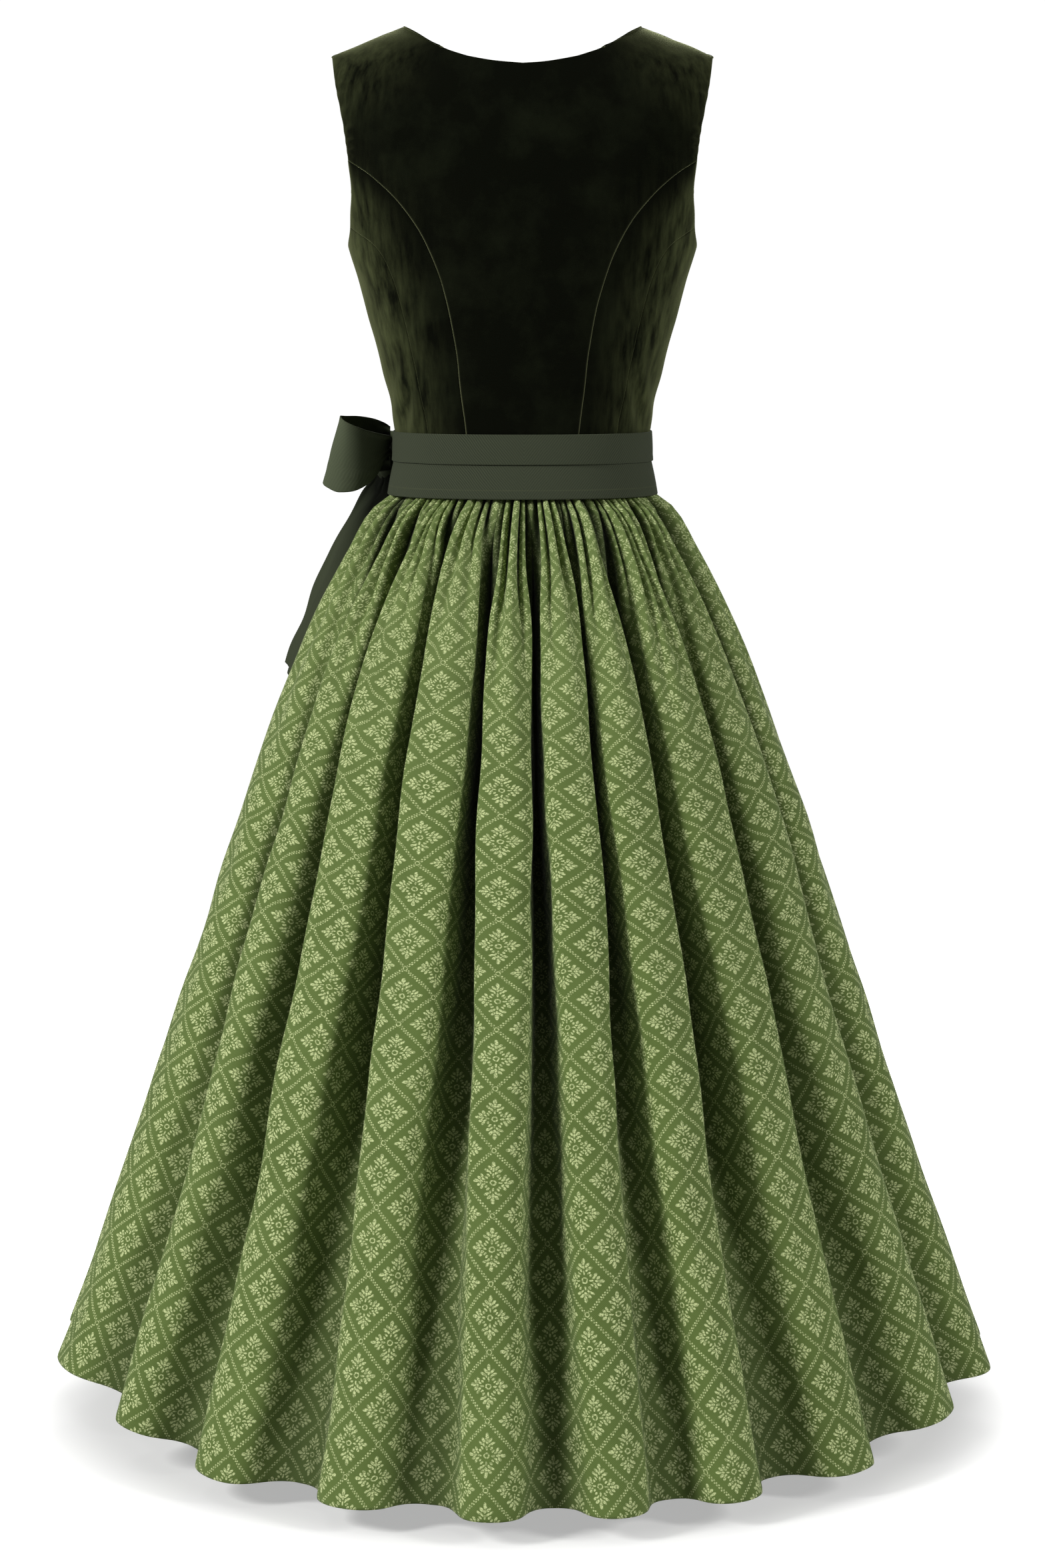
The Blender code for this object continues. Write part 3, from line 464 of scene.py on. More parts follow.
bodice = {
    "thickness": 0.0022, "waistZ": -0.39, "gap": 0.00006,
    "shoulderTip": (0.1836, -0.0125), "shoulderSlope": 0.409, "rollStart": -0.13, "rollPower": 3.0,
    "neckPoint": (0.114, 0.015), "neckBend": 0.023, "ovalPower": 2.2,
    "tipRound": 0.0055, "tipInward": (-1.1, -0.63),  # the tip's radius, and its middle in radii from the tip
    "tuck": (0.0018, 0.004),  # how far the fronts' top edges sit below the back's, and over what height
    "bust": (0.024, 0.074, -0.222, 0.046),  # stands out, x, z, reach
    "sections": (  # z, half width, depth behind, depth in front
        (-0.39, 0.1215, 0.0955, 0.098), (-0.3645, 0.1238, 0.0955, 0.099), (-0.3454, 0.1268, 0.0956, 0.1),
        (-0.307, 0.136, 0.0968, 0.103), (-0.2686, 0.1461, 0.0995, 0.1075),
        (-0.2303, 0.1561, 0.1025, 0.11), (-0.1922, 0.1678, 0.1052, 0.11), (-0.175, 0.1705, 0.1062, 0.109),
        (-0.1541, 0.1755, 0.1072, 0.107), (-0.1162, 0.1815, 0.108, 0.102),
        (-0.0784, 0.186, 0.1075, 0.096), (-0.0407, 0.1905, 0.105, 0.091), (0.02, 0.199, 0.1, 0.086)),
    "armHole": (  # degrees round the body and z, from the shoulder tip down the back and up the front
        (68.5, -0.0125), (68.1, -0.0407), (65.3, -0.0784), (64.3, -0.112), (65.0, -0.1351),
        (68.2, -0.1541), (75.0, -0.174), (82.5, -0.1875), (90.0, -0.1922), (98.0, -0.187), (106.0, -0.17),
        (112.5, -0.14), (115.0, -0.105), (114.5, -0.07), (112.5, -0.038), (111.5, -0.0125)),
    "princess": (  # z and x of the long seams behind
        (-0.39, 0.052), (-0.364, 0.0543), (-0.3307, 0.0586), (-0.2902, 0.0632), (-0.241, 0.0727),
        (-0.197, 0.0878), (-0.1605, 0.1096), (-0.127, 0.1425), (-0.112, 0.1648)),
    "sideBack": (
        (-0.39, 0.088), (-0.365, 0.091), (-0.309, 0.1019), (-0.266, 0.1114), (-0.219, 0.1254),
        (-0.192, 0.142), (-0.174, 0.168)),
    "frontPrincess": (
        (-0.39, 0.05), (-0.31, 0.061), (-0.23, 0.078), (-0.175, 0.108), (-0.14, 0.164)),
    "seamEnds": {"princess": 3, "sideBack": 6, "frontPrincess": 11},  # where they end on the arm hole
    "backNeck": (  # x and z from the centre line to the neck point
        (0.0, -0.023), (0.0257, -0.0208), (0.0514, -0.0157), (0.0698, -0.0098), (0.0845, -0.0031),
        (0.0991, 0.0062), (0.114, 0.015)),
    "frontNeck": (
        (0.0, -0.135), (0.034, -0.133), (0.064, -0.124), (0.083, -0.104), (0.094, -0.07), (0.103, -0.03),
        (0.114, 0.015)),
    "puckers": (0.0013, 0.0125, 0.016),  # height, spacing and reach from the arm hole
    "puckerBand": ((-0.125, 0.03), (-0.028, -0.02)),  # z where they start and end, with the run of each ramp
    "drags": (0.0016, 0.021, 0.112, 0.020),  # height, spacing, x and reach of the creases above the waist
    "dragBand": ((-0.378, 0.03), (-0.29, -0.06)),
    "paintedPileSheen": (0.95, 0.52, 0.15, 0.020),  # painted sheen: how strongly at the sides, shoulders and arm holes, and its reach
    "hollows": 0.0005,  # soft unevenness all over
    "paleSeamLine": (-0.112, 0.0009),  # where the pale line along the centre back's seams ends, and its width
    "seamRows": 84, "armRows": 56, "neckColumns": 60, "shoulderColumns": 44,
    "sideRows": 90, "sidePieces": (("bodice_side_back", "princess", "sideBack", 56),
                                   ("bodice_side", "sideBack", "frontPrincess", 96)),
    "centreRows": 82, "frontArmRows": 60, "frontColumns": 80,
}


def shoulderHeight(x):
    (tipX, tipZ), (neckX, neckZ) = bodice["shoulderTip"], bodice["neckPoint"]
    drop = tipZ + bodice["shoulderSlope"] * (tipX - neckX) - neckZ
    bend = ramp(np.abs(x), neckX + bodice["neckBend"], -bodice["neckBend"])
    return tipZ + bodice["shoulderSlope"] * (tipX - np.abs(x)) - drop * bend**2


def bodyOval(angle, z, out=0.0):  # x and y this far outside the plain oval; angles start at the centre back
    side, back = np.sin(angle), np.cos(angle)
    power = 2 / bodice["ovalPower"]
    wide, deepBehind, deepInFront = (readTable(bodice["sections"], index, z) for index in (1, 2, 3))
    deep = np.where(back > 0, deepBehind, deepInFront)
    x = (wide + out) * np.sign(side) * np.abs(side) ** power
    return x, -(deep + out) * np.sign(back) * np.abs(back) ** power


def bodySurface(angle, z):
    x, y = bodyOval(angle, z)
    out, bustX, bustZ, reach = bodice["bust"]
    spread = ((np.abs(x) - bustX) ** 2 + (z - bustZ) ** 2) / (2 * reach**2)
    y = y + out * np.exp(-spread) * np.clip(-2.5 * np.cos(angle), 0, 1)
    climb = ramp(z, bodice["rollStart"], shoulderHeight(x) - bodice["rollStart"])
    return np.stack([x, y * np.sqrt(1 - climb ** bodice["rollPower"]), z], axis=-1)


def angleAt(x, z, inFront=False):
    share = np.clip(np.abs(x) / readTable(bodice["sections"], 1, z), 0.0, 1.0)
    angle = np.sign(x) * np.arcsin(share ** (bodice["ovalPower"] / 2))
    return math.pi - angle if inFront else angle


def armEdge(places):  # angle and height on the arm hole, at places counted in its points
    edge = throughPoints(bodice["armHole"], places)
    return np.stack([np.radians(edge[..., 0]), edge[..., 1]], axis=-1)


def seamLine(name, shares):  # angle and height from the waist up to the arm hole
    end = armEdge(np.array([float(bodice["seamEnds"][name])]))[0]
    z = bodice["waistZ"] + (end[1] - bodice["waistZ"]) * shares
    x = readTable(bodice[name], 1, z)
    x = x + (abs(bodySurface(*end)[0]) - x[-1]) * shares**5  # the last stretch bends to end on the arm hole
    angle = angleAt(x, z, inFront=name == "frontPrincess")
    angle[-1] = end[0]
    return np.stack([angle, z], axis=-1)


def insetColumns(grid, by):  # keeps a piece clear of its neighbours at both side edges
    for edge, beside in ((0, 1), (-1, -2)):
        step = grid[:, beside] - grid[:, edge]
        grid[:, edge] += by * step / np.linalg.norm(step, axis=1, keepdims=True)
    return grid


def velvetRelief(points, toArmHole):  # height of the puckers and drag lines, in metres
    x, y, z = (points[..., k] for k in range(3))
    high, apart, reach = bodice["puckers"]
    bands = (bodice["puckerBand"], bodice["dragBand"])
    upper, low = (ramp(z, *begin) * ramp(z, *end) for begin, end in bands)
    behind = y < 0.02
    pucker = np.sin(2 * math.pi * z / apart + 2.2 * np.sin(z * 95 + 3 * np.sign(x)) + 25 * np.abs(x))
    relief = high * pucker * upper * np.exp(-toArmHole / reach) * np.clip(toArmHole / 0.006, 0.15, 1) * behind
    high, apart, middleX, reach = bodice["drags"]
    drag = np.cos((np.abs(x) + 0.16 * (z + 0.36)) * 2 * math.pi / apart + np.sign(x))
    relief = relief + high * drag * low * near(np.abs(x) - middleX, reach)
    calm = ramp(z, -0.372, 0.03) * np.clip(toArmHole / 0.01, 0.3, 1)
    return relief + bodice["hollows"] * calm * ripples(x + 0.7 * y, z, 5, 9, 0.07, 0.06)


def pileSheenMask(points, toArmHole):  # painted sheen on the pile, paler at the sides, shoulders and arm holes, from 0 to 1
    x, z = np.abs(points[..., 0]), points[..., 2]
    seamX = readTable(bodice["princess"], 1, z)
    edgeX = readTable(bodice["sections"], 1, z)
    atSide, atShoulder, atArm, reach = bodice["paintedPileSheen"]
    side = ramp(x, seamX, 0.96 * edgeX - seamX) ** 1.4 * ramp(z, -0.09, -0.06)
    shoulder = ramp(z - shoulderHeight(x), -0.085, 0.075) * ramp(x, 0.075, 0.085)
    return np.clip(atSide * side + atShoulder * shoulder + atArm * np.exp(-toArmHole / reach), 0, 1)


def bodicePiece(node, angle, z, paired=True):  # a paired piece is built on the right and mirrored to the left
    surface = bodySurface(angle, z)
    top = np.abs(z - shoulderHeight(surface[..., 0])) < 1e-6
    surface[top, 1] = 0.0
    normal = gridNormals(surface)
    toArmHole, paleSeamLine = np.full(z.shape, 0.2), np.zeros(z.shape)
    if not paired:  # the centre back: its side edges are seams, and arm holes further up
        seamTop, pileWide = bodice["paleSeamLine"]
        fromFirst = runLengths(surface, 1)
        fromLast = fromFirst[:, -1:] - fromFirst
        fromEdge = np.minimum(fromFirst, fromLast)
        toArmHole = np.minimum(toArmHole, fromEdge + 0.3 * np.clip(seamTop - z, 0, 1))
        paleSeamLine = ramp(z, seamTop, -0.004) * (near(fromFirst, pileWide) + near(fromLast, pileWide))
    relief = velvetRelief(surface, toArmHole) - bodice["thickness"] / 2
    middle = surface + relief[..., None] * normal
    middle = insetColumns(middle, bodice["gap"] / 2)
    inFront = angle > math.pi / 2
    tuck, over = bodice["tuck"]
    middle[..., 2] -= np.where(inFront, tuck * np.exp((z - shoulderHeight(surface[..., 0])) / over), 0.0)
    radius = bodice["tipRound"]
    spot = np.array(bodice["shoulderTip"]) + radius * np.array(bodice["tipInward"])
    offX, offZ = np.abs(middle[..., 0]) - spot[0], middle[..., 2] - spot[1]
    far = np.hypot(offX, offZ)
    corner = (offX + 0.4 * offZ > 0) & (offZ + 0.3 * offX > 0) & (far > radius)
    roundedX = np.sign(middle[..., 0]) * (spot[0] + offX * radius / far)
    middle[..., 0] = np.where(corner, roundedX, middle[..., 0])
    middle[..., 2] = np.where(corner, spot[1] + offZ * radius / far, middle[..., 2])
    middle[-1, top[-1], 1] += (np.where(inFront, 1, -1) * bodice["gap"] / 2)[-1, top[-1]]
    marks = {"paleSeamLine": np.clip(paleSeamLine, 0, 1), "pileSheenMask": pileSheenMask(surface, toArmHole)}
    pieces = []
    for side in ("_right", "_left") if paired else ("",):
        if side == "_left":
            middle = middle[:, ::-1] * np.array([-1.0, 1.0, 1.0])
            marks = {key: values[:, ::-1] for key, values in marks.items()}
        uv = np.stack([runLengths(middle, 1), runLengths(middle, 0)], axis=-1)
        piece = clothPiece(node + side + "_velvet", middle, bodice["thickness"], velvet, uv, marks=marks)
        standFor(piece, node + side)
        pieces.append((piece, uv))
    return pieces


# the centre back: columns run up to the neckline and the shoulder seams
rising = seamLine("princess", crowded(bodice["seamRows"], start=0.6))
armShares = 1 - crowded(bodice["armRows"], end=0.9)
rightEdge = np.concatenate([rising, armEdge(bodice["seamEnds"]["princess"] * armShares)[1:]])
neckReach, tipReach = bodice["neckPoint"][0], bodice["shoulderTip"][0]
neckX = neckReach * crowded(bodice["neckColumns"], end=0.5)
neckPlaces = np.interp(neckX, [x for x, z in bodice["backNeck"]], range(len(bodice["backNeck"])))
shoulderX = crowded(bodice["shoulderColumns"], start=0.5, end=0.95, reach=0.06)[1:]
shoulderX = neckReach + (tipReach - neckReach) * shoulderX
topX = np.concatenate([neckX, shoulderX])
topZ = np.concatenate([throughPoints(bodice["backNeck"], neckPlaces)[:, 1], shoulderHeight(shoulderX)])
rightX = np.append(np.abs(bodySurface(*rightEdge[:-1].T)[:, 0]), tipReach)
rises = (rightEdge[:, 1] - bodice["waistZ"]) / (rightEdge[-1, 1] - bodice["waistZ"])
halfX = rightX[:, None] * topX / topX[-1]
halfZ = bodice["waistZ"] + (topZ - bodice["waistZ"]) * rises[:, None]
backX = np.concatenate([-halfX[:, :0:-1], halfX], axis=1)
backZ = np.concatenate([halfZ[:, :0:-1], halfZ], axis=1)
backAngle = angleAt(backX, backZ)
backAngle[:, -1], backAngle[:, 0] = rightEdge[:, 0], -rightEdge[:, 0]
velvetPieces = bodicePiece("bodice_back_centre", backAngle, backZ, paired=False)
print("centre back")


def betweenSeams(left, right, columns, rises):  # fills the outline between two seams and the arm hole
    first, last = (bodice["seamEnds"][name] for name in (left, right))
    left, right = seamLine(left, rises), seamLine(right, rises)
    share = crowded(columns, start=0.9, end=0.9, reach=0.05)
    top = armEdge(first + (last - first) * share)
    share, rise = share[:, None], rises[:, None, None]
    bottom = left[0] * (1 - share) + right[0] * share
    sides = (1 - share) * left[:, None] + share * right[:, None]
    ends = (1 - rise) * bottom + rise * top
    corners = (1 - rise) * ((1 - share) * bottom[0] + share * bottom[-1])
    return sides + ends - (corners + rise * ((1 - share) * top[0] + share * top[-1]))


for node, left, right, columns in bodice["sidePieces"]:
    grid = betweenSeams(left, right, columns, crowded(bodice["sideRows"], start=0.5, end=0.7))
    velvetPieces += bodicePiece(node, grid[..., 0], grid[..., 1])
print("side pieces")

# the fronts: rows run from the centre line and the neckline to the seam and the arm hole
seamEnd = bodice["seamEnds"]["frontPrincess"]
upArm = seamEnd + (len(bodice["armHole"]) - 1 - seamEnd) * crowded(bodice["frontArmRows"], end=0.9)
frontSeam = seamLine("frontPrincess", crowded(bodice["sideRows"], start=0.5))
frontEdge = np.concatenate([frontSeam, armEdge(upArm)[1:]])
frontX = np.append(np.abs(bodySurface(*frontEdge[:-1].T)[:, 0]), tipReach)
centreCount = bodice["centreRows"]
centreShares = np.linspace(0, 1, centreCount + 1)[:-1]
centreZ = bodice["waistZ"] + (bodice["frontNeck"][0][1] - bodice["waistZ"]) * centreShares
neckShares = crowded(len(frontEdge) - centreCount - 1, end=0.7)
neckLine = throughPoints(bodice["frontNeck"], (len(bodice["frontNeck"]) - 1) * neckShares)
leftX, leftZ = np.append(np.zeros(centreCount), neckLine[:, 0]), np.append(centreZ, neckLine[:, 1])
share = crowded(bodice["frontColumns"], start=0.9, end=0.9, reach=0.06)
frontX = leftX[:, None] * (1 - share) + frontX[:, None] * share
frontZ = leftZ[:, None] * (1 - share) + frontEdge[:, 1:] * share
frontZ[-1] = shoulderHeight(frontX[-1])
frontAngle = angleAt(frontX, frontZ, inFront=True)
frontAngle[:, -1] = frontEdge[:, 0]
velvetPieces += bodicePiece("bodice_front", frontAngle, frontZ)
print("fronts")


sash = {
    "thickness": 0.0014, "rows": 30, "columns": 400, "bulge": 0.0004,
    "startAngle": -111.5, "openEnds": 0.0005,  # where the knot hides the ends, and the gap in turns
    "turns": (  # node, top z, bottom z, how far out of the bodice at the top and at the bottom
        ("sash_upper_turn", -0.3684, -0.3970, 0.0022, 0.0053),
        ("sash_lower_turn", -0.3950, -0.4292, 0.0030, 0.0099)),
}
for node, topZ, bottomZ, topOut, bottomOut in sash["turns"]:
    down = crowded(sash["rows"], start=0.9, end=0.9, reach=0.05)[::-1]
    turnShares = np.linspace(sash["openEnds"], 1 - sash["openEnds"], sash["columns"])
    turnAngle = math.radians(sash["startAngle"]) + 2 * math.pi * turnShares
    angle, down = np.meshgrid(turnAngle, down)
    z = topZ + (bottomZ - topZ) * down
    out = topOut + (bottomOut - topOut) * down - sash["thickness"] / 2
    out = out + sash["bulge"] * np.sin(math.pi * down)
    middle = np.stack([*bodyOval(angle, np.maximum(z, bodice["waistZ"]), out), z], axis=-1)
    run = runLengths(middle, 1)
    behind = int(np.argmin(np.abs(turnAngle)))
    uv = np.stack([run - run[:, behind:behind + 1], runLengths(middle, 0)], axis=-1)
    twill = hemmedTwill if node == "sash_lower_turn" else sashTwill
    piece = clothPiece(node + "_twill", middle, sash["thickness"], twill, uv, thinEdges="first last")
    standFor(piece, node)
print("sash")


bowParts = {
    "thickness": 0.0014, "rows": 165, "columns": 36,
    "crease": (0.0016, 0.028), "hollows": 0.0009, "tailWave": 0.0030,  # heights; creases fade over 28 mm
    "loopShade": (0.86, 0.30, 0.031),  # painted shade: how dark at the knot, how much of it follows the creases, reach
    "tailShade": (0.42, 0.56, 0.060, 0.5, 0.14),  # painted shade: all over, at the knot and reach, low edge and reach
    "knotPlace": (-0.1335, 0.0425, -0.3990), "knotHalf": (0.0105, 0.0145, 0.0185), "knotTurn": 20,
    "knotSwell": 1.25,  # rounding the block draws it in by a fifth
    "knotPleat": (0.0009, 0.0078), "knotRound": 0.014, "knotShade": 0.75,
    "ribbons": {  # upper edge and lower edge of the ribbon at each station, in tenths of a millimetre
        "bow_loop_back": (
            (-1290, 225, -3800, -1290, 225, -4050), (-1287, 80, -3745, -1295, 80, -3940),
            (-1420, -120, -3700, -1430, -130, -4140), (-1560, -260, -3650, -1590, -270, -4245),
            (-1690, -320, -3590, -1760, -320, -4265), (-1745, -290, -3550, -1880, -290, -4220),
            (-1755, -220, -3530, -1918, -220, -4185), (-1700, -70, -3540, -1870, -70, -4165),
            (-1580, 80, -3550, -1740, 80, -4130), (-1450, 190, -3575, -1550, 190, -4110),
            (-1345, 250, -3620, -1370, 250, -4090), (-1290, 262, -3655, -1290, 262, -4080)),
        "bow_loop_front": (
            (-1390, 610, -3860, -1390, 610, -4090), (-1410, 760, -3800, -1430, 760, -4130),
            (-1440, 980, -3770, -1480, 980, -4190), (-1420, 1190, -3750, -1480, 1210, -4240),
            (-1330, 1300, -3740, -1400, 1340, -4240), (-1220, 1260, -3750, -1300, 1300, -4220),
            (-1180, 1080, -3770, -1260, 1100, -4180), (-1210, 860, -3800, -1250, 870, -4150),
            (-1290, 640, -3880, -1290, 640, -4090)),
        "bow_tail_back": (
            (-1440, 480, -4070, -1312, 320, -4070), (-1478, 510, -4180, -1306, 320, -4180),
            (-1578, 640, -4304, -1306, 360, -4290), (-1731, 800, -4570, -1505, 440, -4540),
            (-1940, 950, -4916, -1692, 520, -4880), (-2162, 1080, -5435, -1945, 600, -5400),
            (-2410, 1200, -6060, -2280, 720, -6200)),
        "bow_tail_front": (
            (-1310, 580, -4190, -1210, 740, -4190), (-1330, 690, -4300, -1180, 930, -4300),
            (-1420, 850, -4580, -1120, 1260, -4580), (-1540, 910, -4950, -1220, 1460, -4950),
            (-1760, 1010, -5500, -1420, 1580, -5520), (-1960, 1110, -6020, -1650, 1680, -6280)),
    },
}

for node, stations in bowParts["ribbons"].items():
    loop = "loop" in node
    edges = throughPoints(np.array(stations) / 10000, np.linspace(0, len(stations) - 1, bowParts["rows"]))
    across = crowded(bowParts["columns"], start=0.9, end=0.9, reach=0.05)[None, :, None]
    middle = edges[:, None, :3] * (1 - across) + edges[:, None, 3:] * across
    along = runLengths(middle, 0).mean(1)[:, None]
    across = across[..., 0]
    fromKnot = np.minimum(along, along[-1] - along) if loop else along
    high, reach = bowParts["crease"]
    crease = np.cos(2 * math.pi * (2.6 * across + 0.35 * np.sin(9 * across) + along * 6))
    crease = crease * np.exp(-fromKnot / reach)
    hollows = bowParts["hollows"] * ripples(across * 0.05, along, len(node), 7, 0.05, 0.09)
    relief = high * crease * ramp(fromKnot, 0, 0.008) + hollows * ramp(fromKnot, 0, 0.03)
    if not loop:
        relief = relief + bowParts["tailWave"] * np.sin(2 * math.pi * across + 0.4) * ramp(along, 0, 0.12)
    middle = middle + relief[..., None] * gridNormals(middle)
    uv = np.stack([runLengths(middle, 0), runLengths(middle, 1)], axis=-1)
    # painted shade: loops are painted dark near the knot and along its creases; tails darker all over, near
    # the knot and along their lower edge
    if loop:
        atKnot, paintedCreaseShade, reach = bowParts["loopShade"]
        shade = (atKnot + paintedCreaseShade * crease) * near(fromKnot, reach)
    else:
        everywhere, atKnot, reach, lowEdge, lowReach = bowParts["tailShade"]
        shade = everywhere + atKnot * near(fromKnot, reach) + lowEdge * across**2 * near(fromKnot, lowReach)
    marks = {"paintedKnotShade": np.broadcast_to(np.clip(shade, 0, 1), middle.shape[:2])}
    piece = clothPiece(node + "_twill", middle, bowParts["thickness"], bowTwill, uv, marks=marks)
    standFor(piece, node)

# the knot: a short band wrapped over the loops' roots, with soft pleats that run round it
bpy.ops.object.select_all(action="DESELECT")
bpy.ops.mesh.primitive_cube_add(size=2.0, location=(0, 0, 0))
knot = bpy.context.object
knot.name = "bow_knot_twill"
knot.scale = [bowParts["knotSwell"] * half for half in bowParts["knotHalf"]]
bpy.ops.object.transform_apply(location=False, rotation=False, scale=True)
rounding = knot.modifiers.new("rounding", "SUBSURF")
rounding.levels = rounding.render_levels = 5
bpy.ops.object.modifier_apply(modifier="rounding")
place = np.array([v.co for v in knot.data.vertices])
normal = np.array([v.normal for v in knot.data.vertices])
high, apart = bowParts["knotPleat"]
pleat = np.cos(2 * math.pi * (place[:, 1] + 0.0012 * np.sin(place[:, 2] * 160)) / apart)
fading = np.clip(bowParts["knotSwell"] - np.abs(place[:, 1]) / bowParts["knotHalf"][1], 0, 1)
place += high * (pleat * fading)[:, None] * normal
layer = knot.data.uv_layers.get("UVMap") or knot.data.uv_layers.new(name="UVMap")
layer.name = "cloth"
around = np.arctan2(place[:, 0], place[:, 2]) * bowParts["knotRound"]
flat = np.stack([around, place[:, 1]], axis=-1)
order = np.array([loopCorner.vertex_index for loopCorner in knot.data.loops])
layer.data.foreach_set("uv", flat[order].astype(np.float32).ravel())
turn = math.radians(bowParts["knotTurn"])
turned = np.stack([place[:, 0] * math.cos(turn) - place[:, 1] * math.sin(turn),
                   place[:, 0] * math.sin(turn) + place[:, 1] * math.cos(turn), place[:, 2]], axis=-1)
knot.data.vertices.foreach_set("co", (turned + np.array(bowParts["knotPlace"])).astype(np.float32).ravel())
knot.data.update()
bpy.ops.object.shade_smooth()
# painted shade: the whole knot is painted dark, where the loops shade it
shadeAtKnot = knot.data.attributes.new("paintedKnotShade", "FLOAT", "POINT")
shadeAtKnot.data.foreach_set("value", np.full(len(place), bowParts["knotShade"], dtype=np.float32))
knot.data.materials.append(bowTwill)
standFor(knot, "bow_knot")
print("bow")


skirt = {
    "thickness": 0.0011, "gap": 0.00006, "columnsPerGather": 20, "rows": 66,
    "steepest": 98,  # how far the cloth turns at most, in degrees
    "straight": (1.15, 0.8),  # how soon the folds get straight sides, and the most cloth that these take
    "hemFullness": 1.17,  # cloth round the hem against the width that it takes up
    "printCloses": 0.26,  # how much closer the printed rows sit toward the waist
    "dense": (-6, 62, 1.67),  # middle and reach in degrees of the finer gathers, and how much finer
    "lean": 0.02,  # how far the large folds lean to one side
    "gatherShift": 0.22, "mixShift": 0.035, "leanShift": 0.05,  # how unalike the gathers and folds are
    "uneven": ((0.0016, 21, 0.16, 0.42), (0.0008, 22, 0.05, 0.16)),  # height, seed, lengths round and down
    "sections": (  # z, half width, half depth, how deep the cloth folds in, share of the large folds,
        # the oval's power, share of the turning cloth on the ridges, how flat they are, how far they fan out
        (-0.3903, 0.1205, 0.094, 0.004, 0.0, 2.2, 0.8, 1.3, 0.3),
        (-0.4285, 0.1288, 0.1025, 0.02, 0.02, 2.2, 0.8, 1.3, 0.5),
        (-0.4421, 0.1465, 0.119, 0.03, 0.05, 2.15, 0.82, 1.4, 0.7),
        (-0.481, 0.17, 0.144, 0.041, 0.18, 2.1, 0.82, 1.8, 0.9),
        (-0.538, 0.1998, 0.176, 0.053, 0.5, 2.05, 0.84, 2.2, 1.0),
        (-0.618, 0.2337, 0.213, 0.059, 0.84, 2.0, 0.82, 2.3, 1.0),
        (-0.74, 0.2774, 0.261, 0.061, 1.0, 1.92, 0.8, 2.2, 0.9),
        (-0.9, 0.33, 0.318, 0.06, 1.0, 1.88, 0.7, 1.9, 0.7),
        (-1.1, 0.3975, 0.389, 0.053, 1.0, 1.82, 0.6, 1.5, 0.4),
        (-1.3075, 0.4698, 0.462, 0.039, 1.0, 1.78, 0.56, 1.2, 0.2)),
    "gatherRidge": (0.8, 1.2),  # share on the ridges and their flatness for the small gathers
    "lift": ((-1, 0.036, 0.55), (1, 0.024, 0.62)),  # side, how far the hem is drawn up, where that starts
    # painted shade: the next two set where and how strongly the cloth is painted darker down in the folds
    "sharper": (-0.62, -0.47, 0.24, 0.34),  # between these heights the gathers darken from their flanks on
    "foldWeights": ((-1.3, -1.05, -0.85, -0.64), (0.58, 0.48, 0.75, 1.0)),  # z, how dark the folds are
    "folds": (  # angle of the valley where it begins, gathers in it, depth of that valley
        (-170.0, 3, 0.86), (-154.0, 3, 1.12), (-138.0, 3, 0.94), (-123.0, 3, 1.08), (-108.0, 3, 0.95),
        (-93.0, 6, 0.9), (-61.0, 3, 1.12), (-46.0, 4, 1.12), (-28.0, 3, 1.08), (-11.0, 3, 0.96),
        (3.7, 3, 1.0), (17.5, 3, 0.88), (32.0, 4, 1.04), (50.5, 4, 1.12), (69.5, 4, 1.08),
        (88.0, 4, 1.15), (108.0, 3, 1.06), (124.0, 3, 0.95), (141.0, 3, 1.1), (157.0, 3, 0.9),
        (172.0, 4, 1.05)),
    "panels": (("skirt_front_left", 0, 5), ("skirt_back", 5, 15), ("skirt_front_right", 15, 21)),
}


def ridgePoint(angle, row):  # where the tops of the folds reach; the sine gives the place between the sides
    side = math.sin(angle)
    deep = (1 - abs(side) ** row["power"]) ** (1 / row["power"])
    return np.array([row["wide"] * side, -row["deep"] * math.copysign(deep, math.cos(angle))])


def foldTurns(share, ratio, ridgeShare, flatTop):  # the cloth's direction across a fold drawn in this far
    sooner, most = skirt["straight"]
    flat = min(max(1 - sooner * ratio, 0.0), most)  # share of the cloth in the folds' straight sides
    low = (1 - flat) * (1 - ridgeShare) / 2
    high = low + flat / 2
    shape = np.interp(share, [0, low, high, 1 - high, 1 - low, 1], [0, 1, 1, -1, -1, 0])
    onRidge = (share > high) & (share < 1 - high)
    shape = np.where(onRidge, np.sign(shape) * np.abs(shape) ** flatTop, shape)
    angles = np.linspace(0.01, math.radians(skirt["steepest"]) + 0.12, 80)
    reached = np.cos(np.outer(angles, shape)).mean(axis=1)
    return float(np.interp(-ratio, -reached, angles)) * shape


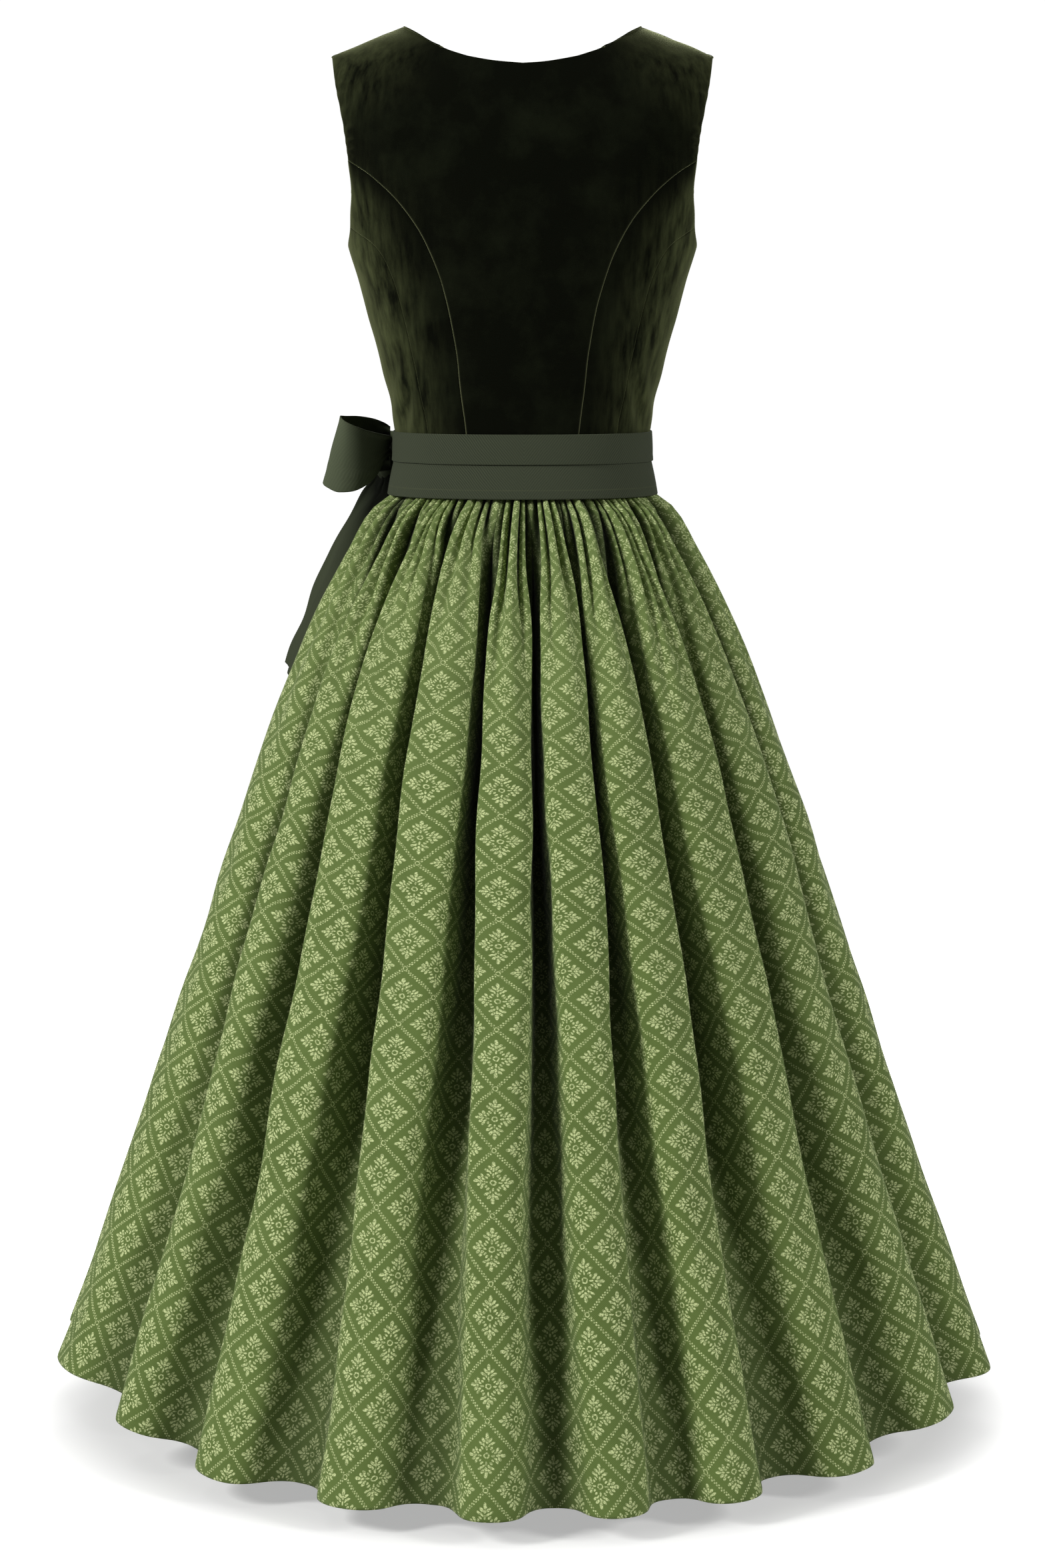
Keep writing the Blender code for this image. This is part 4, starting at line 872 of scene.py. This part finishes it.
def foldLine(ends, rims, top, length, row, mix, places, lean, count):  # one fold at one level
    chord = ends[1] - ends[0]
    width = np.linalg.norm(chord)
    along = chord / width
    out = np.array([along[1], -along[0]])
    share = (np.arange(count) + 0.5) / count
    ratio = min(width / length, 0.97)
    ridge = 0.5 - 0.5 * np.cos(2 * math.pi * share)
    inGather = np.interp(share, places, range(len(places))) % 1
    calm = 1 - min(1.0, 1.6 * mix) * (1 - ridge**0.7)
    turn = foldTurns(share, ratio**mix, row["ridgeShare"], row["flatTop"])
    turn = turn + foldTurns(inGather, ratio ** (1 - mix), *skirt["gatherRidge"]) * calm * (1 - mix) ** 0.5
    forward = np.concatenate([[0.0], np.cumsum(np.cos(turn))])
    outward = np.concatenate([[0.0], np.cumsum(np.sin(turn))])
    outward -= outward[-1] * np.arange(count + 1) / count
    forward *= width / forward[-1]
    rise = max(float(np.dot(top - ends[0], out)), 1e-4)
    reach = outward[:-1, None] / max(outward.max(), 1e-6)
    base = ends[0] + forward[:-1, None] * along
    part = forward[:-1, None] / width
    face = rims[0] * (1 - part) * (1 - 2 * part) + top * 4 * part * (1 - part)
    face = face + rims[1] * part * (2 * part - 1)
    fan = row["fan"]  # at 1 the sides of the folds run straight out from the middle of the skirt
    return base + reach * (fan * (face - base) + (1 - fan) * rise * out - lean * mix * rise * along)


dice = np.random.RandomState(11)
gatherPlaces = []  # where each fold's gathers begin, as shares of its cloth
denseMiddle, denseReach, denser = skirt["dense"]
for angle, gathers, _ in skirt["folds"]:
    if abs(angle - denseMiddle) < denseReach:
        gathers = round(gathers * denser)
    places = np.arange(gathers + 1) / gathers
    places[1:-1] += dice.uniform(-skirt["gatherShift"], skirt["gatherShift"], gathers - 1) / gathers
    gatherPlaces.append(places)
mixShifts = dice.uniform(-skirt["mixShift"], skirt["mixShift"], len(skirt["folds"]))
leanShifts = dice.uniform(-skirt["leanShift"], skirt["leanShift"], len(skirt["folds"]))
rowKeys = ("wide", "deep", "inset", "mix", "power", "ridgeShare", "flatTop", "fan")


def skirtRing(z, lengths):  # one level of the skirt: x, y, z and how deep in a fold each point lies
    row = {key: float(readTable(skirt["sections"], index + 1, z)) for index, key in enumerate(rowKeys)}
    points = []
    folds = skirt["folds"]
    for k, (valley, gathers, depth) in enumerate(folds):
        nextValley, _, nextDepth = folds[(k + 1) % len(folds)]
        nextValley += 360 if nextValley < valley else 0
        rims = [ridgePoint(math.radians(angle), row) for angle in (valley, nextValley)]
        ends = [rim * (1 - row["inset"] * share / np.linalg.norm(rim))
                for rim, share in zip(rims, (depth, nextDepth))]
        top = ridgePoint(math.radians((valley + nextValley) / 2), row)
        shift = mixShifts[k] * ramp(z, -0.43, -0.05)
        mix = min(max(float(readTable(skirt["sections"], 4, z + shift)), 0.0), 1.0)
        length = lengths[k] if lengths else skirt["hemFullness"] * np.linalg.norm(ends[1] - ends[0])
        lean = skirt["lean"] + leanShifts[k]
        count = gathers * skirt["columnsPerGather"]
        points.append(foldLine(ends, rims, top, length, row, mix, gatherPlaces[k], lean, count))
    ring = np.concatenate(points)
    for _ in range(2):
        ring = 0.25 * np.roll(ring, 1, axis=0) + 0.5 * ring + 0.25 * np.roll(ring, -1, axis=0)
    wide, deep, power = row["wide"], row["deep"], row["power"]
    reach = (np.abs(ring[:, 0] / wide) ** power + np.abs(ring[:, 1] / deep) ** power) ** (1 / power)
    foldShadeMask = np.linalg.norm(ring, axis=1) * (1 / reach - 1) / row["inset"]
    lift = np.zeros(len(ring))
    for side, most, start in skirt["lift"]:
        share = ramp(side * ring[:, 0] / wide, start, 1 - start)
        lift += most * share**2 * (3 - 2 * share)
    spread = (skirtTop - z) / (skirtTop - skirtEnd)
    return np.column_stack([ring, z + lift * spread**2, foldShadeMask])


skirtTop, skirtEnd = skirt["sections"][0][0], skirt["sections"][-1][0]
levels = skirtTop + (skirtEnd - skirtTop) * crowded(skirt["rows"], start=0.72, end=0.9, reach=0.12)
starts = np.concatenate([[0], np.cumsum([fold[1] * skirt["columnsPerGather"] for fold in skirt["folds"]])])
hem = skirtRing(skirtEnd, None)[:, :3]
hemRun = runLengths(np.vstack([hem, hem[:1]]), 0)
lengths = list(np.diff(hemRun[starts]))
levels = levels[::-1]  # the hem is the first row
grid = np.array([skirtRing(z, lengths) for z in levels])
grid = np.concatenate([grid, grid[:, :1]], axis=1)

fromZ, toZ, foldStart, foldRun = skirt["sharper"]
# painted shade: how deep each point lies in a fold becomes the mask that darkens the cloth there
foldShadeMask = np.clip(grid[..., 3], 0, 1)
sharper = np.interp(levels, (fromZ, toZ), (0, 1))[:, None]
foldShadeMask = foldShadeMask * (1 - sharper) + ramp(foldShadeMask, foldStart, foldRun) * sharper
foldShadeMask = foldShadeMask * np.interp(levels, *skirt["foldWeights"])[:, None]

grid = grid[..., :3]
down = runLengths(grid[::-1], 0)[::-1]
long = down[0, :-1].mean()
down = down / down[0] * long
clothRound = hemRun[-1]
clothU = [first + (last - first) * np.arange(count) / count
          for first, last, count in zip(hemRun[starts[:-1]], hemRun[starts[1:]], np.diff(starts))]
clothU = np.broadcast_to(np.concatenate(clothU + [[clothRound]]), grid.shape[:2])
depths = np.linspace(0, 1.1, 221)
drawn = 1 + skirt["printCloses"] * (1 - np.interp(depths, (0.42, 0.72), (0, 1)))
drawn = np.concatenate([[0.0], np.cumsum((drawn[1:] + drawn[:-1]) / 2)]) * (depths[1] - depths[0])
clothV = -np.interp(down, depths, drawn)
normal = gridNormals(np.concatenate([grid[:, -2:-1], grid, grid[:, 1:2]], axis=1))[:, 1:-1]
uneven = sum(height * ripples(clothU, clothV, seed, 12, wide, high, clothRound)
             for height, seed, wide, high in skirt["uneven"])
grid = grid + (ramp(grid[..., 2], -0.45, -0.25) * uneven)[..., None] * normal
for node, first, last in skirt["panels"]:
    columns = slice(starts[first], starts[last] + 1)
    middle = insetColumns(grid[:, columns].copy(), skirt["gap"] / 2)
    uv = np.stack([clothU, clothV], axis=-1)[:, columns]
    marks = {"foldShadeMask": foldShadeMask[:, columns]}
    piece = clothPiece(node + "_cotton", middle, skirt["thickness"], cotton, uv, marks=marks)
    standFor(piece, node)
print("skirt, cut", round(float(clothRound), 3), "m round and", round(float(long), 3), "m long")
